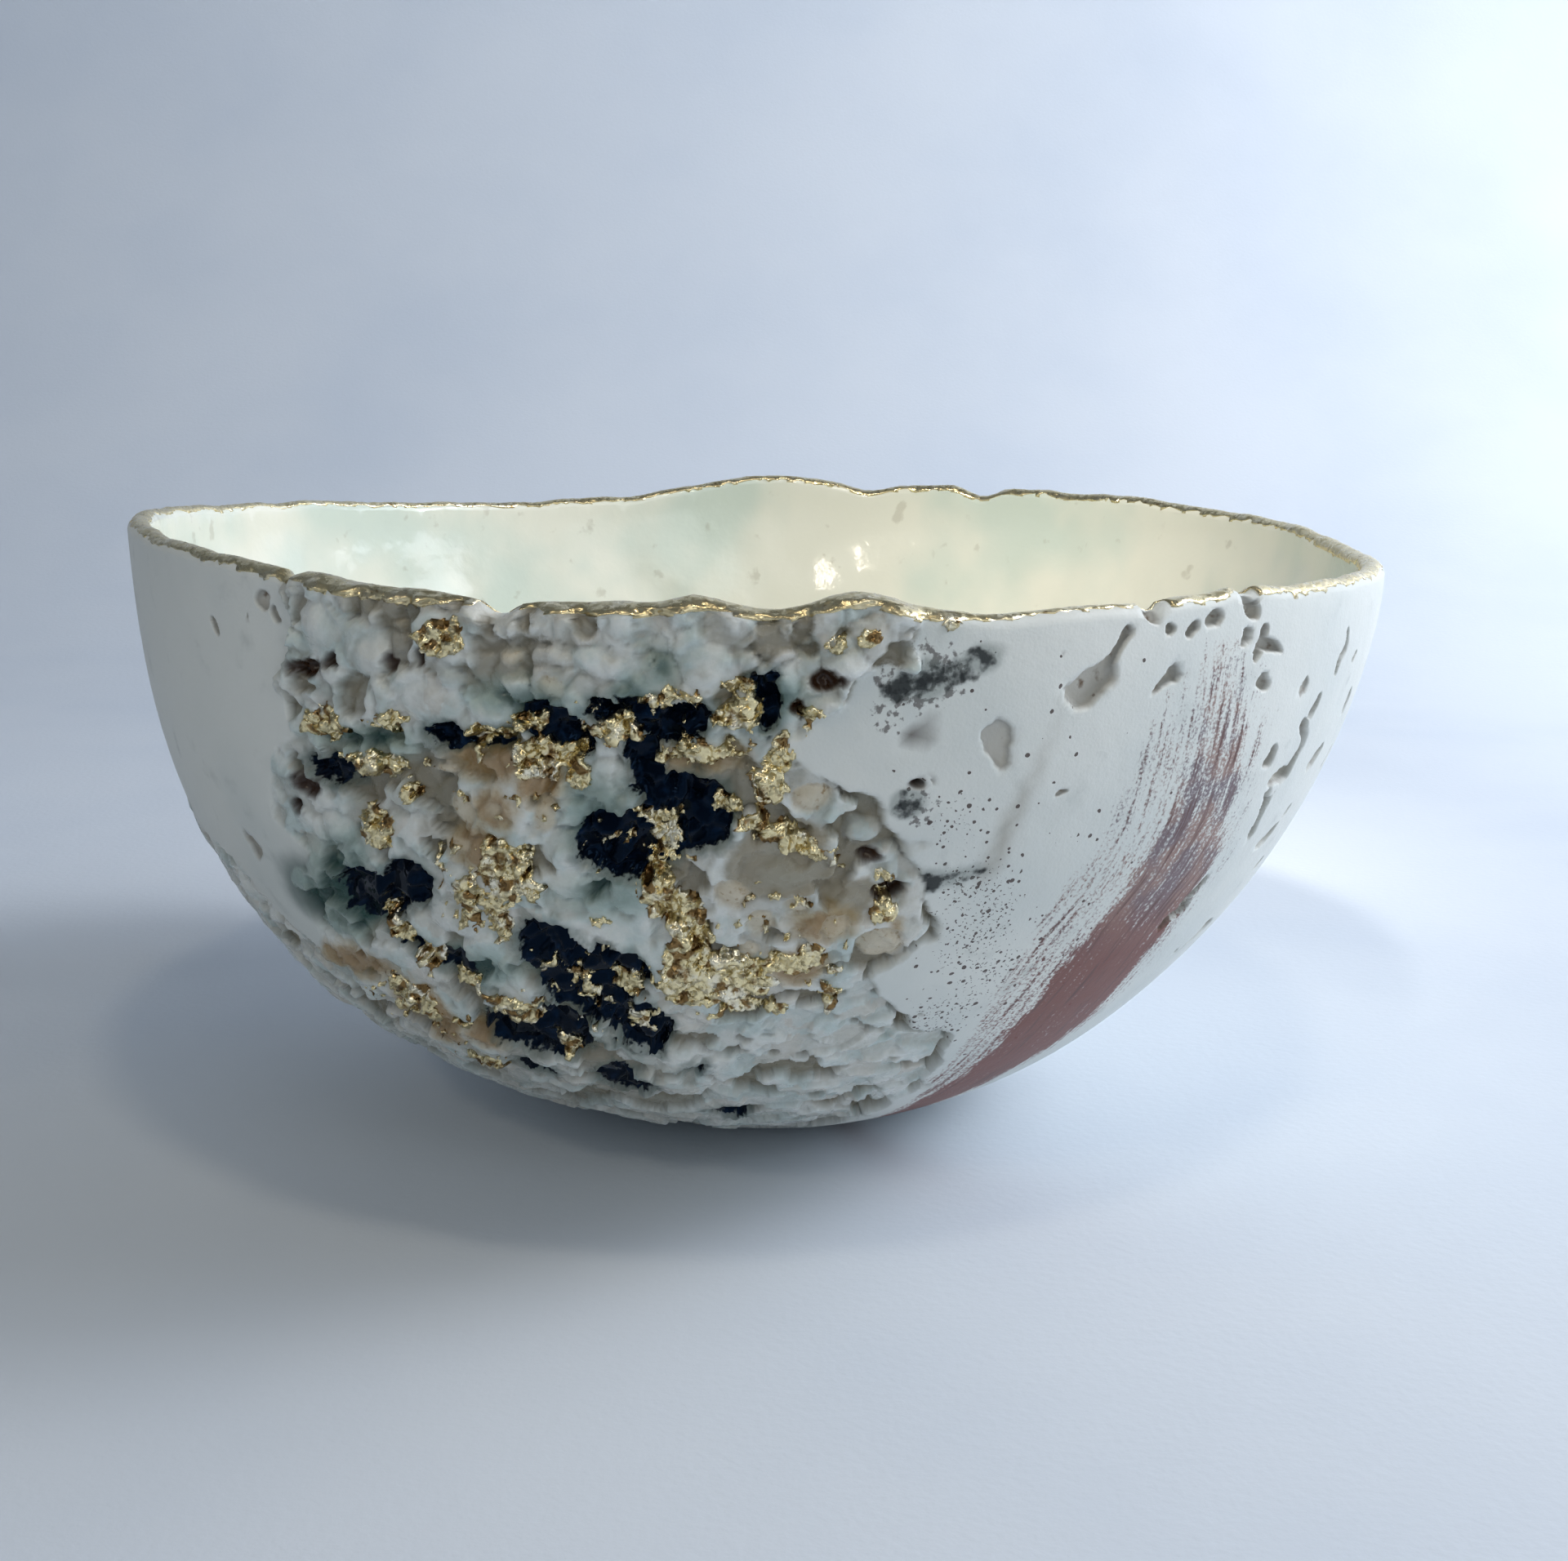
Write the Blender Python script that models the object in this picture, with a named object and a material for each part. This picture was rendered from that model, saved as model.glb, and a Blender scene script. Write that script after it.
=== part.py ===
# A hand-built porcelain bowl, thin and nearly half-round, with a wavy torn lip.
# Its front carries a sunken patch of lumpy fused glaze, and round pits are let
# into the skin beside it. The foot is the round bottom ground flat.
# The origin is the middle of the foot. The patch faces -Y, and an azimuth is in
# degrees from there towards +X. Heights on the wall are shares of RIM_HEIGHT.

import math

import bpy
import numpy as np
from mathutils import Vector, noise

MM = 0.001

# Whole form
RIM_RADIUS = 80.0 * MM
RIM_HEIGHT = 75.8 * MM            # mean height of the lip above the table
FOOT_GROUND_OFF = 1.5 * MM        # how much of the round bottom is ground away
SIDE_TILT = 3.4 * MM              # how much higher the curve runs on the -X side
SIDE_LEAN = 2.0 * MM              # how far the rim sits towards -X over the foot
CURVE_FULLNESS = 2.14             # 2 is an ellipse, more is boxier
CURVE_SHOULDER = 2.11
SHOULDER_SKEW = 0.53              # the +X side is slacker than the -X side

# Wall
LIP_WALL = 2.8 * MM
BODY_WALL = 4.6 * MM
FOOT_WALL = 6.5 * MM
LIP_ROUND = 1.3 * MM              # height of the rounded edge
FOOT_WALL_TO = 0.35               # height share where the thick foot has become the body
LIP_WALL_FROM = 0.72              # height shares between which the body thins to the lip
LIP_WALL_TO = 0.97
UNEVEN_DEPTH = 0.5 * MM           # slow dents from the hands
UNEVEN_LENGTH = 34.0 * MM
FOOT_BLEND = 2.5 * MM             # height over which the carving fades in above the foot

# The lip rises and falls in slow swells: times around, rise, azimuth of a crest
RIM_RISE = 1.0 * MM               # what the rises of the lip are counted in
RIM_SWELLS = (
    (1, 1.7, -88.0),
    (2, 1.1, -51.0),
    (3, 0.9, 40.0),
)
# and in short rises and dips: azimuth, half width in degrees, rise
RIM_RISES = (
    (180.0, 9.0, 1.8),
    (167.0, 4.0, -1.2),
    (152.5, 2.5, -1.6),
    (-162.0, 5.0, -0.7),
    (-149.0, 7.0, -0.8),
    (-120.0, 9.0, 0.5),
    (-28.0, 5.0, -0.3),
    (-18.5, 3.2, -1.0),
    (-4.0, 2.2, 1.1),
    (8.0, 3.2, 1.7),
    (18.0, 5.0, -0.8),
    (28.0, 5.0, -0.4),
    (40.0, 3.5, 0.6),
    (88.0, 7.0, -0.5),
    (112.0, 12.0, 0.5),
    (131.0, 4.0, 0.5),
)
# Torn nicks in the lip: azimuth, half width in degrees, depth as a share of NICK_DEPTH
NICK_DEPTH = 0.8 * MM
RIM_NICKS = (
    (-36.5, 0.9, 1.0),
    (-18.0, 1.2, 0.9),
    (30.5, 0.9, 1.0),
    (40.5, 1.1, 1.1),
)
RIM_TEAR = 0.3 * MM               # fine unevenness of the torn lip
RIM_TEAR_LENGTH = 5.0 * MM

# The glaze patch on the front: azimuth and height share of each outline point,
# down its left edge, out along the tail under the left side, and back
PATCH_OUTLINE = (
    (-37.0, 1.10), (-36.5, 0.93), (-38.5, 0.86), (-38.0, 0.79), (-41.0, 0.75),
    (-43.5, 0.66), (-40.5, 0.61), (-45.0, 0.55), (-44.5, 0.48), (-46.5, 0.43),
    (-51.5, 0.47), (-54.0, 0.54), (-61.0, 0.56), (-70.0, 0.62), (-82.0, 0.58),
    (-92.0, 0.47), (-97.0, 0.33), (-88.0, 0.19), (-64.0, 0.07), (-24.0, 0.02),
    (6.0, 0.04), (17.0, 0.12), (21.0, 0.22), (20.0, 0.33), (13.0, 0.38),
    (10.0, 0.46), (15.0, 0.54), (13.0, 0.62), (11.5, 0.70), (5.0, 0.77),
    (3.0, 0.81), (6.0, 0.87), (11.0, 0.92), (13.0, 1.10),
)
PATCH_DEPTH = 2.3 * MM            # how far the patch is sunk below the skin
PATCH_DEPTH_TOP = 0.9 * MM        # and under the lip, where the lumps stand proud
PATCH_TOP_FROM = 0.78             # height shares between which it gets shallow
PATCH_TOP_TO = 0.92
PATCH_EDGE = 1.2 * MM             # run of the broken skin edge
PATCH_RAGGED = 1.5 * MM           # how far the edge wanders
PATCH_RAGGED_LENGTH = 6.0 * MM
LUMP_SIZE = 6.5 * MM
LUMP_RISE = 1.9 * MM
LUMP_CURVE = 1.9                  # how steeply a lump falls away from its crown
LUMP_GAP = -0.35                  # the gaps between lumps go down this share of LUMP_RISE

# Pits in the skin: azimuth and height share of both ends, radius as a share of
# PIT_RADIUS and depth as a share of PIT_DEPTH
PIT_RADIUS = 1.0 * MM
PIT_DEPTH = 1.4 * MM
PITS = (
    (30.0, 0.966, 30.0, 0.962, 1.0, 0.9),
    (32.3, 0.953, 32.0, 0.950, 0.8, 0.9),
    (34.0, 0.937, 34.6, 0.944, 1.1, 1.1),
    (36.5, 0.956, 36.7, 0.948, 1.2, 1.1),
    (40.0, 0.958, 41.2, 0.958, 1.1, 1.1),
    (39.5, 0.920, 39.4, 0.912, 0.9, 1.0),
    (42.5, 0.928, 42.0, 0.885, 1.0, 1.1),
    (42.6, 0.905, 44.6, 0.900, 0.8, 1.0),
    (43.0, 0.846, 43.0, 0.842, 0.9, 0.9),
    (57.0, 0.895, 56.0, 0.836, 0.8, 1.0),
    (27.5, 0.945, 26.2, 0.909, 1.1, 1.2),
    (25.6, 0.890, 24.4, 0.862, 1.8, 1.2),
    (31.3, 0.866, 32.2, 0.876, 1.0, 1.0),
    (17.6, 0.825, 17.4, 0.792, 1.5, 0.6),
    (47.2, 0.740, 46.8, 0.718, 1.1, 0.9),
    (52.0, 0.765, 52.2, 0.695, 1.0, 1.2),
    (52.0, 0.695, 49.0, 0.690, 0.9, 1.1),
    (50.2, 0.668, 49.8, 0.612, 1.2, 1.1),
    (53.5, 0.803, 52.6, 0.790, 0.8, 0.9),
    (60.0, 0.712, 57.5, 0.690, 0.9, 0.9),
    (58.0, 0.615, 54.5, 0.565, 1.0, 1.0),
    (44.5, 0.532, 43.2, 0.515, 0.9, 0.8),
    (43.5, 0.500, 41.2, 0.470, 1.0, 0.9),
    (55.5, 0.420, 52.0, 0.385, 1.1, 0.9),
    (-39.5, 0.975, -39.6, 0.972, 1.1, 0.6),
    (-38.2, 0.965, -37.6, 0.950, 0.9, 0.7),
    (-46.0, 0.934, -45.8, 0.926, 0.8, 0.6),
    (-44.6, 0.878, -44.2, 0.872, 0.7, 0.6),
    (-49.8, 0.592, -49.0, 0.582, 0.9, 0.8),
)
PIT_WALL_SHARE = 0.45             # share of a pit's radius that its sloped side takes

# A vertex's travel is 0 at the middle of the bottom, 1 where the outside meets the lip,
# 2 where the lip meets the inside and TRAVEL_END at the middle of the inside
TRAVEL_LIP = 1.5
TRAVEL_END = 3.0

# Mesh: the longest edges left in each place
SKIN_EDGE = 14.0 * MM
INSIDE_EDGE = 18.0 * MM
LIP_EDGE = 5.2 * MM
PATCH_MESH_EDGE = 2.5 * MM
PIT_EDGE_SHARE = 1.0              # edge in a pit, as a share of its radius
FIRST_RINGS = 9
FIRST_COLUMNS = 40
LIP_RINGS = 3
MOST_PASSES = 8
EDGE_GROWTH = 0.9                 # how fast edges lengthen away from carving
EDGE_SLACK = 1.45                 # an edge is split when it is this much over its limit
SHARP_ANGLE = 50.0                # edges sharper than this are shaded as breaks

PORCELAIN_COLOUR = (0.62, 0.65, 0.66, 1.0)
PORCELAIN_ROUGHNESS = 0.45


def smooth(low, high, value):
    """An even step from 0 at low to 1 at high."""
    share = np.clip((value - low) / (high - low), 0.0, 1.0)
    return share * share * (3.0 - 2.0 * share)


def angle_between(first, second):
    """Signed degrees from second to first, the short way round."""
    return (first - second + 180.0) % 360.0 - 180.0


def rim_top(azimuth):
    """Height of the lip's top edge, with its swells, rises, nicks and tears."""
    height = np.full_like(azimuth, RIM_HEIGHT)
    for times, rise, crest in RIM_SWELLS:
        height += RIM_RISE * rise * np.cos(np.radians(times * (azimuth - crest)))
    for centre, width, rise in RIM_RISES:
        height += RIM_RISE * rise * np.exp(-(angle_between(azimuth, centre) / width) ** 2)
    for centre, width, depth in RIM_NICKS:
        height -= NICK_DEPTH * depth * np.exp(-(angle_between(azimuth, centre) / width) ** 4)
    around = np.radians(azimuth)
    ring = RIM_RADIUS / RIM_TEAR_LENGTH
    tear = [noise.noise(Vector((ring * math.cos(a), ring * math.sin(a), 0.0))) for a in around]
    return height + RIM_TEAR * np.array(tear)


def curve_height(azimuth):
    """Height of the outer curve from its round bottom to where it is upright."""
    return RIM_HEIGHT + FOOT_GROUND_OFF - SIDE_TILT * np.sin(np.radians(azimuth))


def level_of(azimuth, height):
    """Share of the curve's height that a height above the table comes to."""
    return (height + FOOT_GROUND_OFF) / curve_height(azimuth)


def wall_curve(azimuth, level):
    """Radius and height of the outer curve; level is 0 at its bottom, 1 where it is upright."""
    side = np.sin(np.radians(azimuth))
    below_top = np.clip(1.0 - level, 0.0, 1.0)
    shoulder = CURVE_SHOULDER - SHOULDER_SKEW * side
    radius = RIM_RADIUS * (1.0 - below_top ** shoulder) ** (1.0 / CURVE_FULLNESS)
    height = level * curve_height(azimuth) - FOOT_GROUND_OFF
    return radius, height


def level_along(azimuth, share, top):
    """Level at a share of the way from the bottom's middle up to the height top."""
    return level_of(azimuth, top) * (1.0 - np.cos(share * math.pi / 2.0))


def to_space(azimuth, radius, height):
    """Points in space; the rim leans a little to one side over the foot."""
    around = np.radians(azimuth)
    lean = SIDE_LEAN * (height + FOOT_GROUND_OFF) / (RIM_HEIGHT + FOOT_GROUND_OFF)
    return np.stack([radius * np.sin(around) - lean, -radius * np.cos(around), height], axis=-1)


def on_wall(azimuth, height_share):
    """The point of the outer wall at an azimuth and a share of the rim's height."""
    radius, height = wall_curve(azimuth, level_of(azimuth, height_share * RIM_HEIGHT))
    return to_space(azimuth, radius, height)


def wall_thickness(height):
    """Thin at the lip, thicker down the body and thickest at the foot."""
    share = height / RIM_HEIGHT
    body = FOOT_WALL + (BODY_WALL - FOOT_WALL) * smooth(0.0, FOOT_WALL_TO, share)
    return body + (LIP_WALL - body) * smooth(LIP_WALL_FROM, LIP_WALL_TO, share)


def shell_point(azimuth, travel):
    """The plain shell.

    It gives the points, the outer curve's normals, how much of the outer carving each point takes
    and the height on the outer curve that it belongs to.
    """
    top = rim_top(azimuth)
    share = np.clip(np.where(travel < TRAVEL_LIP, travel, TRAVEL_END - travel), 0.0, 1.0)
    turn = np.clip(travel - 1.0, 0.0, 1.0) * math.pi
    level = level_along(azimuth, share, top - LIP_ROUND)
    step = 1e-4
    level_next = level_along(azimuth, share + step, top - LIP_ROUND)
    radius, height = wall_curve(azimuth, level)
    radius_next, height_next = wall_curve(azimuth, level_next)
    run = radius_next - radius
    rise = height_next - height
    length = np.hypot(run, rise)
    out = rise / length
    up = -run / length
    wall = wall_thickness(height)
    depth = wall * (1.0 - np.cos(turn)) / 2.0
    lift = LIP_ROUND * np.sin(turn)
    points = to_space(azimuth, radius - out * depth, height - up * depth + lift)
    around = np.radians(azimuth)
    normals = np.stack([out * np.sin(around), -out * np.cos(around), up], axis=-1)
    carving = np.clip(np.cos(turn), 0.0, 1.0)
    return points, normals, carving, height


def segment_distance(points, start, end):
    """Distance of each point to the straight run from start to end."""
    run = end - start
    share = np.clip((points - start) @ run / max(float(run @ run), 1e-12), 0.0, 1.0)
    return np.linalg.norm(points - start - share[:, None] * run, axis=1)


def patch_distance(points, azimuth, height):
    """Distance from the glaze patch's outline, positive inside it, before the edge wanders."""
    share = height / RIM_HEIGHT
    nearest = np.full(len(points), 1.0)
    inside = np.zeros(len(points), dtype=bool)
    corners = list(PATCH_OUTLINE)
    for (az_a, share_a), (az_b, share_b) in zip(corners, corners[1:] + corners[:1]):
        start = on_wall(az_a, share_a)
        end = on_wall(az_b, share_b)
        nearest = np.minimum(nearest, segment_distance(points, start, end))
        if share_a == share_b:
            continue
        crossing = az_a + (share - share_a) * (az_b - az_a) / (share_b - share_a)
        spans = (share >= min(share_a, share_b)) & (share < max(share_a, share_b))
        inside ^= spans & (azimuth < crossing)
    return np.where(inside, nearest, -nearest)


def noise_at(points, length):
    """Soft noise from -1 to 1 whose features are about length across."""
    return np.array([noise.noise(Vector(p) / length) for p in points])


def lump_at(points, size):
    """Rounded lumps packed side by side: 1 on a crown, LUMP_GAP between them."""
    nearest = np.array([noise.voronoi(Vector(p) / size)[0][0] for p in points])
    return np.maximum(1.0 - LUMP_CURVE * nearest ** 2, LUMP_GAP)


def pits_near(points):
    """For every pit, the points' distances from its middle line, its radius and its depth."""
    for az_a, share_a, az_b, share_b, radius, depth in PITS:
        away = segment_distance(points, on_wall(az_a, share_a), on_wall(az_b, share_b))
        yield away, PIT_RADIUS * radius, PIT_DEPTH * depth


def carving_depth(points, azimuth, height):
    """How far the finished outer surface stands out from the plain shell."""
    distance = patch_distance(points, azimuth, height)
    distance = distance + PATCH_RAGGED * noise_at(points, PATCH_RAGGED_LENGTH)
    within = smooth(0.0, PATCH_EDGE, distance)
    share = height / RIM_HEIGHT
    sunk = PATCH_DEPTH + (PATCH_DEPTH_TOP - PATCH_DEPTH) * smooth(PATCH_TOP_FROM, PATCH_TOP_TO, share)
    rise = within * (LUMP_RISE * lump_at(points, LUMP_SIZE) - sunk)
    pit = np.zeros(len(points))
    for away, radius, depth in pits_near(points):
        floor_to = radius * (1.0 - PIT_WALL_SHARE)
        pit = np.maximum(pit, depth * (1.0 - smooth(floor_to, radius, away)))
    return rise - pit


def edge_limit(points, azimuth, height, travel):
    """The longest edge that the mesh may keep at each point, finer towards the carving."""
    limit = np.where(travel > TRAVEL_LIP, INSIDE_EDGE, SKIN_EDGE)
    limit = np.where((travel >= 1.0) & (travel <= 2.0), LIP_EDGE, limit)
    outer = travel <= 1.0
    outside_patch = np.maximum(-patch_distance(points, azimuth, height) - PATCH_RAGGED / 2.0, 0.0)
    near_patch = PATCH_MESH_EDGE + EDGE_GROWTH * outside_patch
    limit = np.where(outer & (height > 0.0), np.minimum(limit, near_patch), limit)
    for away, radius, depth in pits_near(points):
        near_pit = radius * PIT_EDGE_SHARE + EDGE_GROWTH * np.maximum(away - radius, 0.0)
        limit = np.where(outer, np.minimum(limit, near_pit), limit)
    return limit


def first_mesh():
    """A coarse closed shell: for every vertex its easting, fronting and travel, and the faces."""
    places = []
    rings = []
    outside = [i / FIRST_RINGS for i in range(1, FIRST_RINGS + 1)]
    lip = [1.0 + i / (LIP_RINGS + 1) for i in range(1, LIP_RINGS + 1)]
    inside = [TRAVEL_END - share for share in reversed(outside)]
    for travel in outside + lip + inside:
        ring = []
        for column in range(FIRST_COLUMNS):
            turn = 2.0 * math.pi * column / FIRST_COLUMNS
            ring.append(len(places))
            places.append((math.sin(turn), math.cos(turn), travel))
        rings.append(ring)
    bottom = len(places)
    places.append((0.0, 0.0, 0.0))
    inside_bottom = len(places)
    places.append((0.0, 0.0, TRAVEL_END))
    faces = []
    for column in range(FIRST_COLUMNS):
        after = (column + 1) % FIRST_COLUMNS
        faces.append((bottom, rings[0][after], rings[0][column]))
        faces.append((inside_bottom, rings[-1][column], rings[-1][after]))
        for lower, upper in zip(rings, rings[1:]):
            faces.append((lower[column], lower[after], upper[after]))
            faces.append((lower[column], upper[after], upper[column]))
    return places, faces


def azimuth_and_travel(places):
    """Azimuth and travel of every vertex."""
    east, front, travel = np.array(places).T
    return np.degrees(np.arctan2(east, front)), travel


def split_face(face, middles, points):
    """The faces that a face becomes once its long edges are halved."""
    a, b, c = face
    ab, bc, ca = (middles.get(frozenset(edge)) for edge in ((a, b), (b, c), (c, a)))
    halved = sum(middle is not None for middle in (ab, bc, ca))
    if halved == 0:
        return [face]
    if halved == 3:
        return [(a, ab, ca), (ab, b, bc), (ca, bc, c), (ab, bc, ca)]
    while ab is None or ca is not None:
        a, b, c = b, c, a
        ab, bc, ca = bc, ca, ab
    if halved == 1:
        return [(a, ab, c), (ab, b, c)]
    from_a = np.linalg.norm(points[a] - (points[b] + points[c]) / 2.0)
    from_c = np.linalg.norm(points[c] - (points[a] + points[b]) / 2.0)
    if from_a < from_c:
        return [(ab, b, bc), (a, ab, bc), (a, bc, c)]
    return [(ab, b, bc), (a, ab, c), (ab, bc, c)]


def split_long_edges(places, faces):
    """Halve every edge that is longer than its place allows. It gives the new faces."""
    azimuth, travel = azimuth_and_travel(places)
    points, normals, carving, height = shell_point(azimuth, travel)
    limit = edge_limit(points, azimuth, height, travel)
    middles = {}
    for a, b, c in faces:
        for first, second in ((a, b), (b, c), (c, a)):
            edge = frozenset((first, second))
            length = np.linalg.norm(points[first] - points[second])
            if edge in middles or length <= EDGE_SLACK * min(limit[first], limit[second]):
                continue
            middles[edge] = len(places)
            ends = zip(places[first], places[second])
            places.append(tuple((one + other) / 2.0 for one, other in ends))
    return [part for face in faces for part in split_face(face, middles, points)]


def finished_points(places):
    """Every vertex on the finished surface: shell, slow dents, carving, flat foot."""
    azimuth, travel = azimuth_and_travel(places)
    points, normals, carving, height = shell_point(azimuth, travel)
    wall_points = to_space(azimuth, *wall_curve(azimuth, level_of(azimuth, height)))
    above_bottom = smooth(0.0, FOOT_WALL_TO, height / RIM_HEIGHT)
    rise = UNEVEN_DEPTH * noise_at(wall_points, UNEVEN_LENGTH) * above_bottom
    carved = carving > 0.0
    above_foot = smooth(0.0, FOOT_BLEND, height[carved])
    depth = carving_depth(points[carved], azimuth[carved], height[carved])
    rise[carved] += depth * carving[carved] * above_foot
    placed = points + normals * rise[:, None]
    outer = travel <= 1.0
    placed[outer, 2] = np.maximum(placed[outer, 2], 0.0)
    return placed


def porcelain():
    """White porcelain, matt to satin."""
    material = bpy.data.materials.new("porcelain")
    material.use_nodes = True
    shader = material.node_tree.nodes["Principled BSDF"]
    shader.inputs["Base Color"].default_value = PORCELAIN_COLOUR
    shader.inputs["Roughness"].default_value = PORCELAIN_ROUGHNESS
    shader.inputs["Metallic"].default_value = 0.0
    return material


def build_bowl():
    """The bowl as one closed body."""
    places, faces = first_mesh()
    for _ in range(MOST_PASSES):
        count = len(faces)
        faces = split_long_edges(places, faces)
        if len(faces) == count:
            break
    mesh = bpy.data.meshes.new("bowl")
    mesh.from_pydata(finished_points(places).tolist(), [], faces)
    mesh.shade_smooth()
    mesh.set_sharp_from_angle(angle=math.radians(SHARP_ANGLE))
    mesh.materials.append(porcelain())
    bowl = bpy.data.objects.new("bowl", mesh)
    bpy.context.scene.collection.objects.link(bowl)
    return bowl


for old in list(bpy.data.objects):
    bpy.data.objects.remove(old)

build_bowl()
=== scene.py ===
# A hand-built porcelain bowl with a crust of fused glaze and torn gold leaf on its front.
# Lengths are in millimetres until a mesh is made. An azimuth is in degrees from the front
# towards +X. A mark on the wall is an azimuth and a height above the table.

import math

import bpy
import numpy as np
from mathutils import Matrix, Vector, noise


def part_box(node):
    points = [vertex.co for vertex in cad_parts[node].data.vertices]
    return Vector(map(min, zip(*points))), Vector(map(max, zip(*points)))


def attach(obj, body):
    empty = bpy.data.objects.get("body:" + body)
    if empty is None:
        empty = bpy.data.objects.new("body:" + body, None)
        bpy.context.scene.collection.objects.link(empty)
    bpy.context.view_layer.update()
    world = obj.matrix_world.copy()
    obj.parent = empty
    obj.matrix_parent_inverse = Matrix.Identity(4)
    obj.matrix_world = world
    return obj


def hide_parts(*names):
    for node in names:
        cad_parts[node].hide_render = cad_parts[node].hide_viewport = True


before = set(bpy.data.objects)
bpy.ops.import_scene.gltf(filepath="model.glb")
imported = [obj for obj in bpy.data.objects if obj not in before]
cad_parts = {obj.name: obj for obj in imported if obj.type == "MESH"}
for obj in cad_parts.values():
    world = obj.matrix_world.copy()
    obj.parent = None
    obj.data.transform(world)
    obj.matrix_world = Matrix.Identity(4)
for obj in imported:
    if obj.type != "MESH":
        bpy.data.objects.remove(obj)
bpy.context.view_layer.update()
lowCorner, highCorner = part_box("bowl")
print("frame loaded, the solid is", [round(v * 1000.0, 1) for v in highCorner - lowCorner], "mm")

metre = 0.001  # one of this script's millimetres in Blender's metres


def smooth(low, high, value):
    share = np.clip((value - low) / (high - low), 0.0, 1.0)
    return share * share * (3.0 - 2.0 * share)


def mixed(first, second, share):
    return first + (second - first) * share


def angleBetween(first, second):
    return (first - second + 180.0) % 360.0 - 180.0


# soft noise from -1 to 1 whose features are about size across
def noiseAt(points, size, shift=0.0):
    return np.array([noise.noise(p) for p in (points / size + shift).tolist()])


# noise with a finer layer on it, for the outlines of plates of glaze
def crumbleAt(points, size, shift=0.0, finer=0.45):
    return noiseAt(points, size, shift) + finer * noiseAt(points, 0.4 * size, shift + 3.1)


# cells about size across: distance to the nearest middle and the next one, in cells, a random
# share for each cell, and the height of a facet that tilts its own way in each cell
def cellsAt(points, size, shift=0.0):
    rows = []
    for p in (points / size + shift).tolist():
        distances, middles = noise.voronoi(p)
        rows.append((distances[0], distances[1], *middles[0], *p))
    rows = np.array(rows).reshape(-1, 8)
    seed = np.sin(rows[:, 2:5] @ np.array([12.9898, 78.233, 37.719])) * 43758.5453
    seed = seed - np.floor(seed)
    turn = 2.0 * math.pi * seed
    lean = np.stack([np.cos(turn), np.cos(3.0 * turn + 1.0), np.sin(turn)], axis=-1)
    tilt = ((rows[:, 5:] - rows[:, 2:5]) * lean).sum(axis=1)
    return rows[:, 0], rows[:, 1], seed, tilt


# the wall of the bowl, as in the solid
bowl = {
    "rimRadius": 80.0,
    "rimHeight": 75.8,
    "footGroundOff": 1.5,  # the round bottom is ground flat by this much
    "sideTilt": 3.4,
    "sideLean": 2.0,
    "fullness": 2.14,
    "shoulder": 2.11,
    "shoulderSkew": 0.53,
    "lipWall": 2.8,
    "bodyWall": 4.6,
    "footWall": 6.5,
    "lipRound": 1.3,
    "footWallTo": 0.35,  # shares of the rim's height
    "lipWallFrom": 0.72,
    "lipWallTo": 0.97,
    "unevenDepth": 0.5,  # slow dents from the hands
    "unevenLength": 34.0,
    "footBlend": 2.5,
    "tear": 0.3,
    "tearLength": 5.0,
    "travelEnd": 3.0,  # 0 to 1 up the outside, to 2 over the lip, to 3 down the inside
    # the lip's swells: times around, rise, azimuth of a crest
    "rimSwells": [(1, 1.7, -88.0), (2, 1.1, -51.0), (3, 0.9, 40.0)],
    # its short rises and dips: azimuth, half width in degrees, rise
    "rimRises": [
        (180.0, 9.0, 1.8), (167.0, 4.0, -1.2), (152.5, 2.5, -1.6), (-162.0, 5.0, -0.7),
        (-149.0, 7.0, -0.8), (-120.0, 9.0, 0.5), (-28.0, 5.0, -0.3), (-18.5, 3.2, -1.0),
        (-4.0, 2.2, 1.1), (8.0, 3.2, 1.7), (18.0, 5.0, -0.8), (28.0, 5.0, -0.4),
        (40.0, 3.5, 0.6), (88.0, 7.0, -0.5), (112.0, 12.0, 0.5), (131.0, 4.0, 0.5),
    ],
    "rimNicks": [(-36.5, 0.9, 0.8), (-18.0, 1.2, 0.7), (30.5, 0.9, 0.8), (40.5, 1.1, 0.9)],
    # mesh: the longest edges in each place
    "skinEdge": 3.4,
    "frontSkinEdge": 1.7,
    "insideEdge": 2.8,
    "lipEdge": 0.8,
    "lipEdgeBehind": 1.5,
    "crustEdge": 0.42,
    "crustEdgeBehind": 1.8,
    "pitEdgeShare": 0.25,
    "edgeGrowth": 0.8,
    "seenTo": 66.0,  # azimuth where the outside goes out of the photo's sight
    "firstRings": 9,
    "firstColumns": 40,
    "lipRings": 3,
}

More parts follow.
